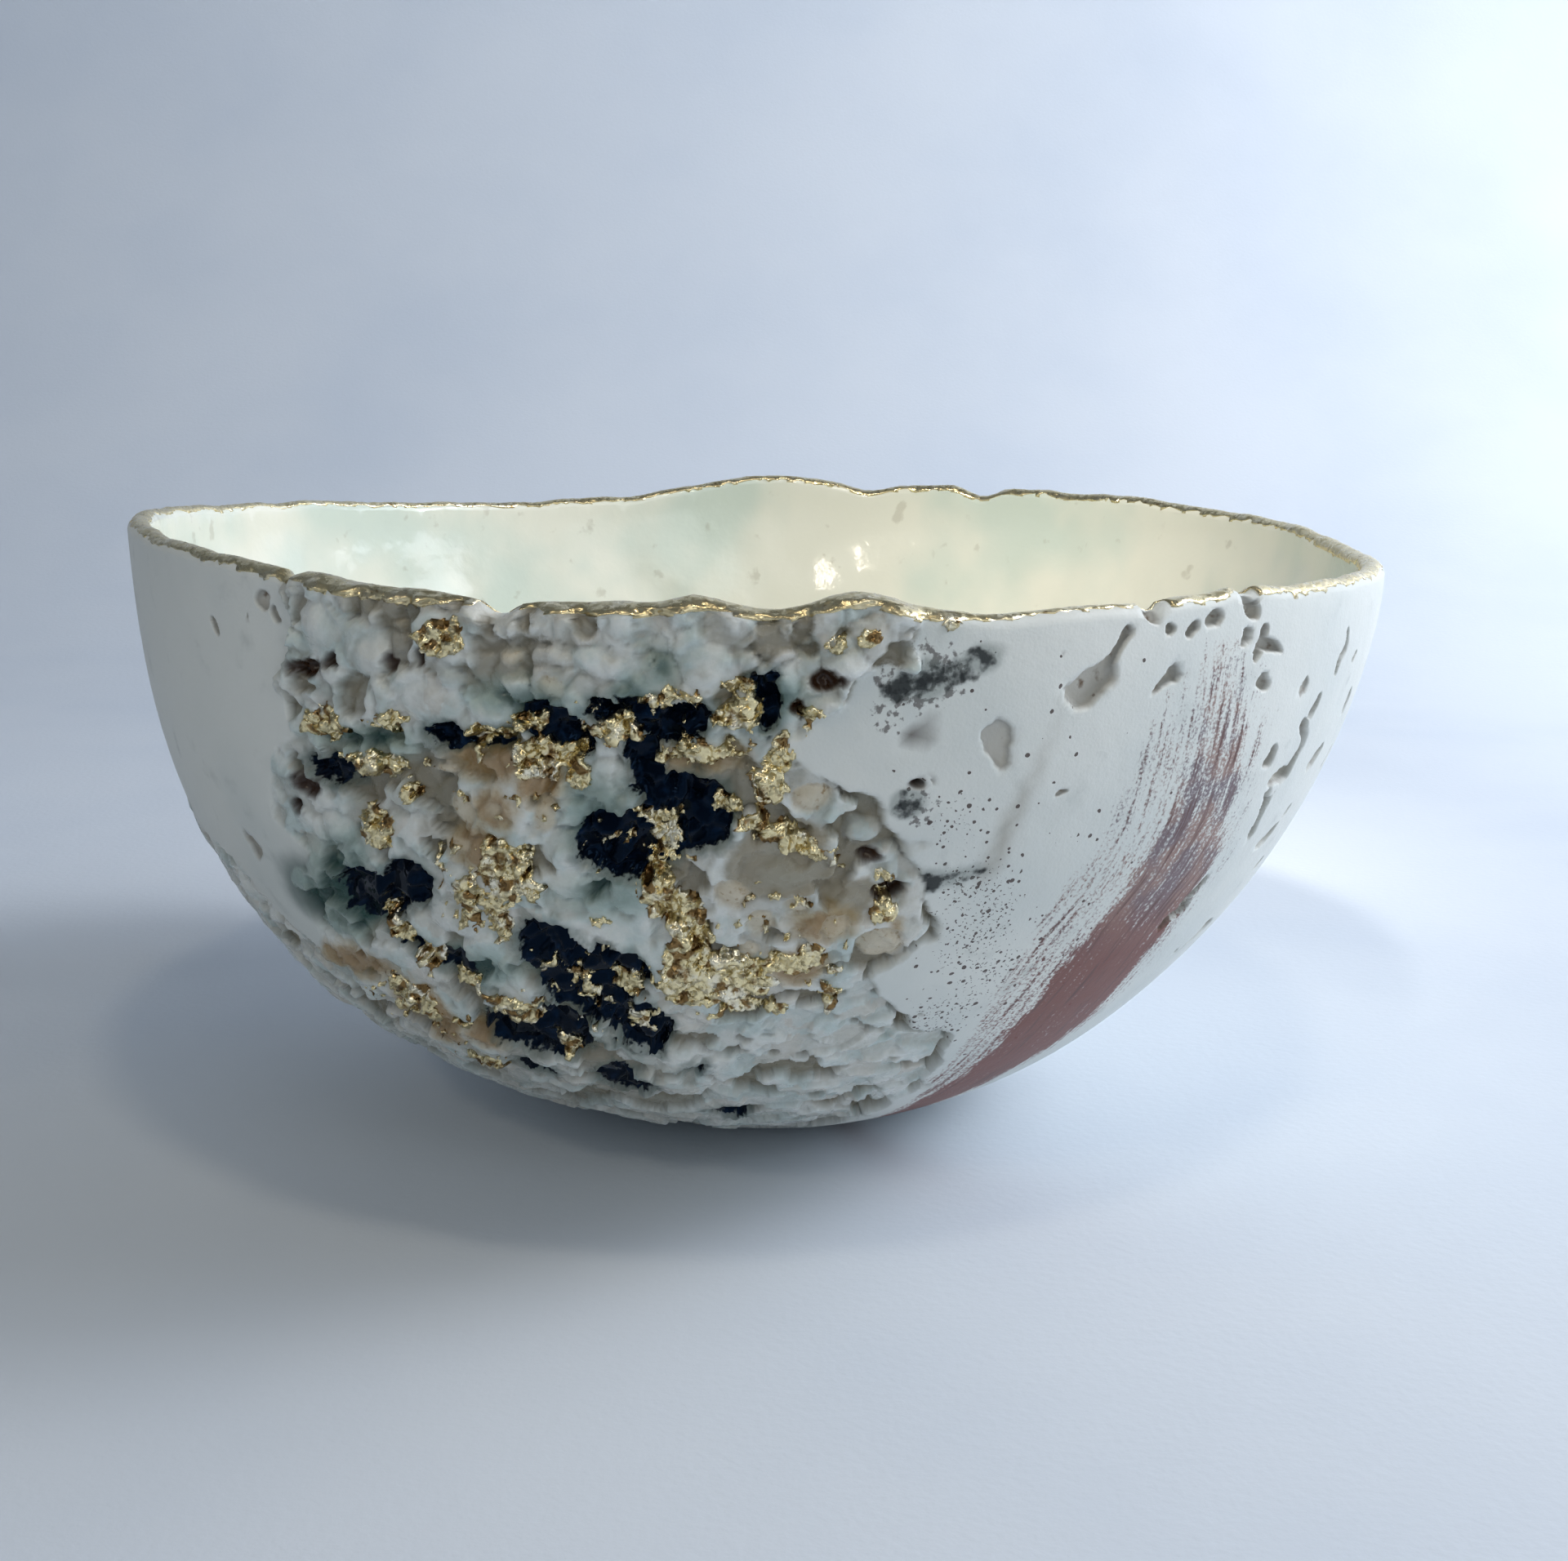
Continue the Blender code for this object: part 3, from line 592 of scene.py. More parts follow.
# only the outside and the outer half of the lip take the crust
rise = np.zeros(len(points))
fields = {}
crustRise, crustFields = crustRelief(points[outer], azimuth[outer], height[outer])
rise[outer] = crustRise * carving[outer] * above[outer]
for name, values in crustFields.items():
    fields[name] = np.full(len(points), -farField if name in ("glass", "teal", "ochre") else 0.0)
    fields[name][outer] = values

# the slow dents of the hands run through the wall, and the inside has soft bumps of its own
wallPoints = onWall(azimuth, height)
offFoot = smooth(0.0, bowl["footWallTo"], height / bowl["rimHeight"])
rise += bowl["unevenDepth"] * noiseAt(wallPoints, bowl["unevenLength"]) * offFoot
inside = {
    "swell": 0.55,
    "swellLength": 13.0,
    "knock": 0.5,
    "knockLength": 7.5,
    "from": 2.0,  # travel over which the bumps fade in below the lip
    "to": 2.12,
}
isInside = smooth(inside["from"], inside["to"], travel)
within = isInside > 0.0
nearest, _, _, _ = cellsAt(points[within], inside["knockLength"], 6.6)
bumps = inside["swell"] * noiseAt(points[within], inside["swellLength"], 2.0)
bumps += inside["knock"] * domeOf(nearest)
rise[within] -= bumps * isInside[within]

placed = points + normals * rise[:, None]
flatFoot = travel <= 1.0
placed[flatFoot, 2] = np.maximum(placed[flatFoot, 2], 0.0)
print("relief done")


# brushed oxide: places in the stroke that the material turns into bristle marks
wash = {
    # height, azimuth of the brushed band's left edge, of its dense core's left edge and right edge
    "edges": [
        (4.0, 19.0, 20.0, 27.0), (9.0, 20.0, 22.5, 32.0), (16.0, 20.5, 25.5, 37.5),
        (21.0, 20.5, 26.5, 41.0), (27.0, 21.0, 27.6, 41.7), (33.0, 22.0, 29.2, 41.8),
        (38.0, 23.5, 30.5, 43.0), (43.0, 25.0, 33.0, 44.6), (50.0, 27.5, 35.0, 43.6),
        (57.0, 29.5, 35.5, 42.8), (64.0, 31.0, 35.5, 41.0), (70.0, 32.5, 35.5, 39.8),
    ],
    # height, how strongly the core covers, and how strongly the fringe does
    "cover": [
        (4.0, 1.0, 0.62), (14.0, 1.0, 0.56), (33.0, 1.0, 0.52), (38.0, 0.86, 0.50),
        (46.0, 0.78, 0.47), (56.0, 0.70, 0.45), (61.0, 0.60, 0.42), (66.0, 0.52, 0.34),
        (69.5, 0.42, 0.20), (71.5, 0.0, 0.0),
    ],
    # height, share of maroon against the paler dry brushing above
    "maroon": [(0.0, 1.0), (33.0, 1.0), (37.5, 0.75), (41.0, 0.25), (50.0, 0.1), (75.0, 0.0)],
    "rightFringe": 7.0,  # degrees over which the right side thins out
    # faint stain running down, as height, azimuth, half width in mm and strength
    "runStain": [(64.0, 22.7, 0.7, 0.15), (57.7, 21.0, 0.9, 0.55), (53.0, 19.6, 1.1, 0.85),
                 (47.5, 18.4, 1.2, 0.9), (45.0, 18.0, 0.8, 0.0)],
    "runStainSpan": (44.5, 66.0),
    # dark smudges and the field of fine specks, as ovals
    "smudges": [
        (15.5, 69.6, 3.4, 1.7, 20), (12.0, 68.3, 3.2, 2.0), (10.0, 67.2, 2.0, 1.4),
        (16.2, 46.9, 3.6, 1.0, 5), (13.0, 46.4, 2.6, 1.6), (11.0, 55.4, 1.8, 1.8),
    ],
    "veins": [(12.0, 68.6, 5.5, 4.0), (9.5, 64.5, 2.5, 2.5), (12.0, 55.0, 2.4, 2.6)],
    "specks": [
        (18.5, 40.0, 6.0, 9.5, -14), (17.0, 46.0, 6.5, 5.0), (17.0, 28.0, 6.0, 6.5),
        (15.0, 53.0, 4.0, 4.5), (20.5, 34.0, 5.0, 9.0, -10), (14.0, 42.0, 4.0, 4.0),
    ],
    "lightSpecks": [(20.0, 50.0, 16.0, 26.0), (28.0, 40.0, 9.0, 24.0)],
    "bristleWidth": 0.7,
    "bristleLength": 9.0,
    "farSide": 60.0,  # no bristle marks further than this from the core's left edge
}


def alongTable(rows, column, value):
    rows = np.array(sorted(rows))
    return np.interp(value, rows[:, 0], rows[:, column])


degree = math.radians(1.0) * wallCurve(azimuth, levelOf(azimuth, height))[0]
left = (azimuth - alongTable(wash["edges"], 1, height)) * degree
core = (azimuth - alongTable(wash["edges"], 2, height)) * degree
right = (alongTable(wash["edges"], 3, height) - azimuth) * degree
wobble = np.zeros(len(points))
frontSkin = outer & (np.abs(azimuth - 30.0) < 45.0)
wobble[frontSkin] = noiseAt(points[frontSkin] * np.array([1.0, 1.0, 0.35]), 3.0, 5.0)
isCore = smooth(-1.2, 1.0, core + 1.2 * wobble) * smooth(-1.0, 0.8, right + 0.9 * wobble)
isFringe = smooth(-0.6, 1.2, left + wobble)
rightFringe = smooth(-wash["rightFringe"] * degree, 0.0, right + wobble)
stroke = np.maximum(
    isCore * alongTable(wash["cover"], 1, height),
    isFringe * rightFringe * alongTable(wash["cover"], 2, height),
)
stroke[~frontSkin] = 0.0
maroon = alongTable(wash["maroon"], 1, height)



def marksOnFront(ovals, low, high):
    marks = np.zeros(len(points))
    marks[frontSkin] = smooth(low, high, ovalField(points[frontSkin], ovals)[0])
    return marks


smudge = marksOnFront(wash["smudges"], -0.8, 0.9)
veins = marksOnFront(wash["veins"], -1.0, 1.0)
specks = marksOnFront(wash["specks"], -3.0, 4.0)
specks = np.maximum(specks, 0.16 * marksOnFront(wash["lightSpecks"], -6.0, 8.0))
stainAway = np.abs(azimuth - alongTable(wash["runStain"], 1, height)) * degree
stainAway = stainAway / alongTable(wash["runStain"], 2, height)
runStain = np.exp(-(stainAway**2)) * alongTable(wash["runStain"], 3, height)
lowEnd, highEnd = wash["runStainSpan"]
runStain *= frontSkin & (height > lowEnd) & (height < highEnd)


# gold leaf and lustre: how far inside the gilding each vertex lies, in mm
leaf = {
    "patches": [
        (-34, 61.5, 2.7, 2.0), (-28, 62.6, 1.9, 1.1), (-30, 57.3, 3.9, 1.2), (-20, 61.8, 2.1, 0.9),
        (-16, 63.5, 1.7, 0.9), (-16, 59.7, 2.5, 2.3), (-10, 63.2, 2.4, 1.3), (-6, 66.6, 2.3, 0.9),
        (-1, 68.0, 1.2, 0.9), (-1, 65.2, 2.1, 1.7), (-4, 61.2, 3.8, 1.3), (2, 61.0, 0.8, 2.0),
        (-31, 50.7, 2.4, 2.1), (-20, 47.5, 2.9, 3.5), (-24, 43.7, 1.4, 2.5), (-22, 40.7, 1.3, 2.6),
        (-18, 45.4, 1.2, 1.3), (-36, 27.9, 3.3, 3.8), (-24, 28.0, 2.3, 2.7), (-16, 32.9, 1.1, 1.3),
        (-12, 33.5, 1.9, 1.8), (-21, 23.0, 1.2, 1.3), (-12, 27.6, 1.4, 1.7), (-34, 19.1, 3.0, 1.3),
        (-7, 53.4, 1.9, 1.0), (-7, 51.1, 1.7, 1.6), (-8, 45.9, 1.6, 2.8), (1, 57.8, 1.7, 1.8),
        (-2, 55.3, 1.5, 1.3), (2, 52.0, 4.7, 1.3, -28), (-6, 42.6, 2.1, 3.3), (-4, 34.8, 6.3, 3.9),
        (-6, 38.4, 2.6, 2.6), (3, 37.4, 2.6, 1.5), (6, 32.8, 0.7, 2.4), (10, 43.8, 1.1, 1.4),
        (10, 47.4, 0.9, 0.8), (-22, 71.9, 2.3, 1.9), (6, 72.4, 0.6, 0.7), (8, 72.6, 0.7, 0.5),
        (14, 73.7, 0.7, 0.6), (-33.4, 38.2, 1.4, 2.4, 20), (-31, 34.6, 1.2, 2.0, -20),
        (-28, 31.6, 2.6, 0.9, -20), (-24.5, 30.5, 2.0, 0.8, -12), (-13, 58.9, 1.2, 2.2),
        (-2, 30.4, 3.2, 1.1), (-13, 42.0, 0.7, 0.9), (-27, 54.6, 0.9, 0.6), (4, 64.5, 0.7, 1.1),
    ],
    "dust": [  # loose grains around the leaf
        (-9, 50.5, 6.0, 5.0), (-15, 32.0, 8.0, 8.0), (-8, 62.5, 12.0, 3.5), (0, 40.0, 9.0, 8.0),
        (-20, 57.0, 7.0, 5.0), (-24, 44.0, 6.0, 8.0), (-36, 26.0, 8.0, 6.0),
    ],
    "dustGrain": 1.0,
    "spread": 0.25,
    # azimuth and how far the lip's gold reaches down the outside, in mm
    "lipReach": [
        (-180.0, 0.33), (-100.0, 0.4), (-60.0, 0.59), (-45.0, 0.73), (-38.5, 1.12), (-36.2, 0.26),
        (-33.5, 1.32), (-28.0, 1.12), (-24.5, 1.58), (-21.0, 0.86), (-19.8, 0.13), (-18.8, -1.5),
        (-17.6, -1.5), (-16.5, 0.2), (-15.0, 0.66), (-10.0, 0.99), (-4.0, 1.19), (0.0, 0.92),
        (4.0, 1.06), (9.0, 1.25), (13.0, 1.12), (16.0, 0.53), (20.0, 0.3), (29.2, 0.36),
        (30.0, -1.5), (31.0, -1.5), (31.8, 0.59), (37.0, 0.73), (39.6, 0.33), (40.1, -1.5),
        (41.0, -1.5), (41.6, 0.66), (44.0, 0.86), (52.0, 0.92), (60.0, 0.59), (90.0, 0.4),
        (180.0, 0.33),
    ],
    # azimuth and how far it reaches down the inside
    "lipInside": [
        (-180.0, 0.8), (-120.0, 0.7), (40.0, 0.6), (58.0, 0.9), (68.0, 1.5), (80.0, 1.1),
        (92.0, 1.6), (104.0, 0.9), (130.0, 0.9), (180.0, 0.8),
    ],
    "lipRagged": 0.42,
    "ragged": 0.9,
    "edge": 0.26,  # the longest edge in the leaf, and how much longer it is on the lip
    "lipEdge": 0.5,
    "lift": 0.1,
    "sink": 0.12,  # the leaf's back lies this deep in the glaze
    "crumple": 0.30,
    "crumpleLength": 1.5,
    "crease": 0.42,
    "creaseLength": 0.85,
    "scrap": 1.1,  # the leaf tears into scraps of this size
    "lipShare": 0.16,  # lustre on the lip is this share as crumpled as the leaf
}
notGilt = -9.0
gilt = np.full(len(points), notGilt)
onPatch = outer & (azimuth > -bowl["seenTo"]) & (azimuth < 30.0)
gilt[onPatch] = ovalField(points[onPatch], leaf["patches"])[0] + leaf["spread"]
dust = smooth(-1.0, 2.0, ovalField(points[onPatch], leaf["dust"])[0])
grains = noiseAt(points[onPatch], leaf["dustGrain"], 14.0)
dusted = np.where(dust > 0.0, 1.6 * (grains - 0.66 + 0.30 * dust), notGilt)
gilt[onPatch] = np.maximum(gilt[onPatch], dusted)
beside = np.where(travel <= 1.5, alongTable(leaf["lipReach"], 1, azimuth),
                  alongTable(leaf["lipInside"], 1, azimuth))
lipGilt = beside - belowLip
lipGilt = np.where((travel > 2.5) | (travel < 0.7), notGilt, lipGilt)
isLip = (lipGilt > gilt).astype(float)
gilt = np.maximum(gilt, lipGilt)
print("marks and gilding placed")


def vertexNormals(points, faces):
    a, b, c = (points[faces[:, i]] for i in range(3))
    facing = np.cross(b - a, c - a)
    total = np.zeros_like(points)
    for i in range(3):
        np.add.at(total, faces[:, i], facing)
    return total / np.maximum(np.linalg.norm(total, axis=1), 1e-12)[:, None]


# masks: name of a colour attribute and the one to four values that each vertex keeps in it
def addPiece(name, points, faces, material, masks):
    mesh = bpy.data.meshes.new(name)
    mesh.from_pydata((points * metre).tolist(), [], faces.tolist())
    mesh.shade_smooth()
    for label, columns in masks.items():
        layer = mesh.color_attributes.new(name=label, type="FLOAT_COLOR", domain="POINT")
        kept = np.zeros((len(points), 4), dtype=np.float32)
        kept[:, : len(columns)] = np.stack(columns, axis=1)
        layer.data.foreach_set("color", kept.ravel())
    mesh.materials.append(material)
    piece = bpy.data.objects.new(name, mesh)
    bpy.context.scene.collection.objects.link(piece)
    return piece


def toLinear(code):
    parts = [int(code[i : i + 2], 16) / 255.0 for i in (1, 3, 5)]
    parts = [p / 12.92 if p <= 0.04045 else ((p + 0.055) / 1.055) ** 2.4 for p in parts]
    return (*parts, 1.0)


def perMetre(size):
    return 1.0 / (size * metre)


# inputs are values, hex colours or other nodes' outputs
def addNode(tree, kind, settings, inputs):
    node = tree.nodes.new("ShaderNode" + kind)
    for name, value in settings.items():
        setattr(node, name, value)
    for name, value in inputs.items():
        if isinstance(value, bpy.types.NodeSocket):
            tree.links.new(value, node.inputs[name])
        else:
            node.inputs[name].default_value = toLinear(value) if isinstance(value, str) else value
    return node


def channels(tree, label):
    stored = addNode(tree, "Attribute", {"attribute_name": label}, {})
    split = addNode(tree, "SeparateColor", {}, {"Color": stored.outputs["Color"]})
    return [*split.outputs, stored.outputs["Alpha"]]


times = {"operation": "MULTIPLY"}
timesAndAdd = {"operation": "MULTIPLY_ADD"}
isBelow = {"operation": "LESS_THAN"}
larger = {"operation": "MAXIMUM"}


# lays one value over another, from the bottom up; a layer is a mask, its value and any shares
# that the mask is multiplied by
def layered(tree, start, layers, kind="RGBA"):
    first, second, result = {"RGBA": (6, 7, 2), "FLOAT": (2, 3, 0)}[kind]
    for mask, value, *shares in layers:
        for share in shares:
            mask = addNode(tree, "Math", times, {0: mask, 1: share}).outputs[0]
        node = addNode(tree, "Mix", {"data_type": kind}, {0: mask, first: start, second: value})
        start = node.outputs[result]
    return start


# a mask whose edge wanders with a pattern: 0 below low and 1 above high
def ragged(tree, field, pattern, amount, low, high):
    moved = addNode(tree, "Math", timesAndAdd, {0: pattern, 1: amount, 2: field})
    steps = {"Value": moved.outputs[0], "From Min": low + amount / 2.0, "From Max": high + amount / 2.0}
    return addNode(tree, "MapRange", {"interpolation_type": "SMOOTHSTEP"}, steps).outputs[0]


# where a pattern alone is high
def patches(tree, pattern, low, high):
    return ragged(tree, 0.0, pattern, 1.0, low, high)


# a new material and its soft patterns, each given as its size in mm and its detail
def newMaterial(name, *sizes):
    material = bpy.data.materials.new(name)
    material.use_nodes = True
    tree = material.node_tree
    place = addNode(tree, "TexCoord", {}, {}).outputs["Object"]
    patterns = []
    for size, detail in sizes:
        settings = {"Vector": place, "Scale": perMetre(size), "Detail": detail}
        patterns.append(addNode(tree, "TexNoise", {}, settings).outputs["Fac"])
    return material, tree, tree.nodes["Principled BSDF"], place, patterns


porcelainLook = {
    "skin": "#E4E5DE",
    "skinShade": "#D6DAD5",
    "runStain": "#8F8674",
    "speck": "#4B3A35",
    "vein": "#4A3F3D",
    "smudge": "#14191A",
    "smudgeWash": "#6B7670",
    "speckCell": 0.75,
    "maroon": "#763C31",
    "maroonDeep": "#582B26",
    "dryPink": "#9C7F75",
    "mauve": "#75686F",
    "pitFloor": "#BDB7AB",
    # painted shade: a dark ring around each pit's edge
    "pitRimShade": "#5F564C",
    "pitStain": "#7E6A58",
    "lump": "#DEE0DA",
    "lumpCool": "#C3CFCB",
    "lumpBeige": "#CDC3B5",
    # olive glaze of the gaps, made darker as painted shade
    "seam": "#807762",
    "tealPale": "#A5BCB2",
    "tealDeep": "#2F4F4A",
    "ochre": "#B59A66",
    "ochreDeep": "#8A6534",
    "pebble": "#CFC1A6",
    "pebbleDark": "#A8916F",
    "gel": "#968C76",
    "hole": "#3A2413",
    "navy": "#050D18",
    "navyLight": "#10243C",
    "glassTint": "#5A7CA8",
    "glaze": "#ECEADB",
    "glazeCool": "#D3DCD0",
    "glazeSpeck": "#8A7B5E",
    "ior": 1.5,
    "specular": 0.35,
    "skinRoughness": 0.52,
    "crustRoughness": 0.26,
    "waxyRoughness": 0.48,
    "glassRoughness": 0.07,
    "glazeRoughness": 0.12,
    "seeThrough": 0.22,  # the crust's glaze lets light in this much, over these distances
    "lightRuns": (1.0, 0.9, 0.75),
    "lightReach": 1.6,
    "toothDepth": 0.035,  # mm, like the rest
    "skinDepth": 0.18,
    "crustDepth": 0.09,
    "glazeDepth": 0.12,
}


# Unglazed porcelain, fired hard and rubbed smooth: cool white and satin, with a fine tooth.
# Over it lie thick fused glazes, waxy and half see-through, that ran together in the kiln, pools
# of near black glass, oxide brushed on dry, and a clear glaze inside that mirrors the light.
def unglazedPorcelain():
    look = porcelainLook
    material, tree, shader, place, patterns = newMaterial(
        "unglazedPorcelainWithFusedGlaze", (26.0, 3.0), (4.5, 4.0), (1.8, 3.0), (0.7, 3.0), (0.35, 2.0)
    )
    cloud, mottle, blotch, grain, tooth = patterns
    within, seam, seed, _ = channels(tree, "crust")
    glass, teal, ochre, hole = channels(tree, "glaze")
    pebble, gel, pit, innerSide = channels(tree, "stones")
    stroke, maroon, smudge, specks = channels(tree, "oxide")
    across, along, veins, runStain = channels(tree, "brush")

    # across and along count in the widths and lengths of a bristle mark
    brush = addNode(tree, "CombineXYZ", {}, {"X": across, "Y": along})
    settings = {"Vector": brush.outputs[0], "Scale": 1.0, "Detail": 3.0, "Roughness": 0.6}
    bristle = addNode(tree, "TexNoise", {}, settings).outputs["Fac"]

    # specks are dots of a quarter to half a millimetre, each in a cell of its own
    settings = {"Vector": place, "Scale": perMetre(look["speckCell"])}
    cell = addNode(tree, "TexVoronoi", {}, settings)
    chance, big, _ = addNode(tree, "SeparateColor", {}, {"Color": cell.outputs["Color"]}).outputs
    reach = addNode(tree, "MapRange", {}, {"Value": big, "To Min": 0.2, "To Max": 0.7}).outputs[0]
    reach = addNode(tree, "Math", times, {0: reach, 1: grain}).outputs[0]
    isDot = addNode(tree, "Math", isBelow, {0: cell.outputs["Distance"], 1: reach}).outputs[0]
    crowd = addNode(tree, "Math", times, {0: specks, 1: 0.6}).outputs[0]
    isThere = addNode(tree, "Math", isBelow, {0: chance, 1: crowd}).outputs[0]
    dots = addNode(tree, "Math", times, {0: isDot, 1: isThere}).outputs[0]
    fineSpecks = ragged(tree, specks, tooth, 3.2, 1.30, 1.48)
    speckMask = addNode(tree, "Math", larger, {0: dots, 1: fineSpecks}).outputs[0]
    smudgeWash = ragged(tree, smudge, mottle, 1.8, 0.15, 0.85)
    smudgeMask = ragged(tree, smudge, blotch, 1.9, 0.62, 1.05)
    # a ring of painted shade along the pit's edge, where the wall falls into the pit
    pitRimShade = addNode(tree, "Math", {"operation": "PINGPONG"}, {0: pit, 1: 0.5}).outputs[0]
    veinMask = ragged(tree, veins, grain, 2.4, 0.95, 1.25)
    # dry bristles leave broken lines, and the tooth of the skin breaks them into grains
    dry = addNode(tree, "Mix", {"data_type": "FLOAT"}, {0: 0.45, 2: bristle, 3: tooth}).outputs[0]
    strokeGrain = ragged(tree, stroke, dry, 2.2, 0.42, 0.80)
    oxide = layered(tree, look["dryPink"], [
        (patches(tree, mottle, -0.08, 0.12), look["mauve"]),
        (maroon, look["maroon"]),
        (patches(tree, bristle, 0.02, 0.2), look["maroonDeep"]),
    ])
    skin = layered(tree, look["skin"], [
        (patches(tree, cloud, -0.15, 0.2), look["skinShade"]),
        (runStain, look["runStain"], 0.62),
        (speckMask, look["speck"], 0.92),
        (veinMask, look["vein"], 0.75),
        (smudgeWash, look["smudgeWash"], 0.5),
        (smudgeMask, look["smudge"], 0.92),
        (strokeGrain, oxide, 0.93),
        (pit, look["pitFloor"], 0.75),
        (pitRimShade, look["pitRimShade"], 0.9),
        (pit, look["pitStain"], patches(tree, blotch, 0.06, 0.2)),
    ])

    beige = ragged(tree, seed, mottle, 1.2, 0.55, 0.95)
    glassMask = ragged(tree, glass, grain, 0.7, -0.05, 0.12)
    glassHalo = ragged(tree, glass, blotch, 1.6, -1.5, 0.2)
    tealMask = ragged(tree, teal, blotch, 1.6, -0.9, 0.8)
    # teal gathers in the gaps
    tealShare = addNode(tree, "Math", timesAndAdd, {0: seam, 1: 0.6, 2: 0.35}).outputs[0]
    crustColour = layered(tree, look["lump"], [
        (patches(tree, mottle, -0.1, 0.15), look["lumpCool"]),
        (beige, look["lumpBeige"], 0.45),
        # gaps: olive glaze colour, darkened as painted shade
        (seam, look["seam"], 0.9),
        (ragged(tree, gel, blotch, 1.2, 0.05, 0.7), look["gel"], 0.85),
        (ragged(tree, ochre, blotch, 2.2, -0.9, 1.1), look["ochre"], 0.62),
        (ragged(tree, ochre, grain, 2.0, 0.2, 1.6), look["ochreDeep"], 0.6),
        (pebble, look["pebble"], 0.75),
        (pebble, look["pebbleDark"], patches(tree, grain, 0.05, 0.25)),
        (ragged(tree, teal, mottle, 2.0, -2.2, 0.6), look["tealPale"], 0.55),
        (tealMask, look["tealDeep"], tealShare),
        (glassHalo, look["tealDeep"], 0.62),
        (hole, look["hole"]),
        (glassMask, look["navy"]),
        (glassMask, look["navyLight"], patches(tree, blotch, 0.02, 0.3)),
    ])
    outside = layered(tree, skin, [
        # the teal also bleeds over the skin beside the crust
        (ragged(tree, teal, mottle, 2.4, -1.6, 1.8), look["tealDeep"], 0.7),
        (within, crustColour),
        (hole, look["hole"], 0.9),
    ])
    inner = layered(tree, look["glaze"], [
        (patches(tree, cloud, -0.08, 0.15), look["glazeCool"]),
        (patches(tree, mottle, 0.14, 0.22), look["glazeSpeck"], 0.25),
    ])
    colour = layered(tree, outside, [(innerSide, inner)])
    tree.links.new(colour, shader.inputs["Base Color"])

    roughness = layered(tree, look["skinRoughness"], [
        (within, look["crustRoughness"]),
        (within, look["waxyRoughness"], patches(tree, blotch, -0.05, 0.2)),
        (within, look["glassRoughness"], glassMask),
        (innerSide, look["glazeRoughness"]),
    ], "FLOAT")
    tree.links.new(roughness, shader.inputs["Roughness"])
    seeThrough = addNode(tree, "Math", times, {0: within, 1: look["seeThrough"]})
    tree.links.new(seeThrough.outputs[0], shader.inputs["Subsurface Weight"])
    tint = layered(tree, "#FFFFFF", [(within, look["glassTint"], glassMask)])
    tree.links.new(tint, shader.inputs["Specular Tint"])
    shader.inputs["Subsurface Radius"].default_value = look["lightRuns"]
    shader.inputs["Subsurface Scale"].default_value = look["lightReach"] * metre
    shader.inputs["IOR"].default_value = look["ior"]
    shader.inputs["Specular IOR Level"].default_value = look["specular"]

    # heights in mm: the skin's tooth and slow dents, the crust's grain, smooth glass, soft glaze
    dents = addNode(tree, "Math", times, {0: mottle, 1: look["skinDepth"]}).outputs[0]
    steps = {0: tooth, 1: look["toothDepth"], 2: dents}
    skinHeight = addNode(tree, "Math", timesAndAdd, steps).outputs[0]
    crustHeight = addNode(tree, "Math", times, {0: grain, 1: look["crustDepth"]}).outputs[0]
    glazeHeight = addNode(tree, "Math", times, {0: mottle, 1: look["glazeDepth"]}).outputs[0]
    relief = layered(tree, skinHeight, [
        (within, crustHeight),
        (glassMask, 0.0),
        (innerSide, glazeHeight),
    ], "FLOAT")
    bump = addNode(tree, "Bump", {}, {"Strength": 1.0, "Distance": metre, "Height": relief})
    tree.links.new(bump.outputs["Normal"], shader.inputs["Normal"])
    return material


leafLook = {
    "leaf": "#EFDFB0",
    "leafPale": "#F8F1DC",
    "leafCreaseShade": "#8C7048",
    # painted shade in the leaf's creases
    "lustre": "#D6C59A",
    "facetTilt": 0.95,
    "facet": 0.55,
    "lipTilt": 0.3,
    "roughness": 0.16,
    "dullRoughness": 0.42,
    "grainDepth": 0.12,  # mm
}
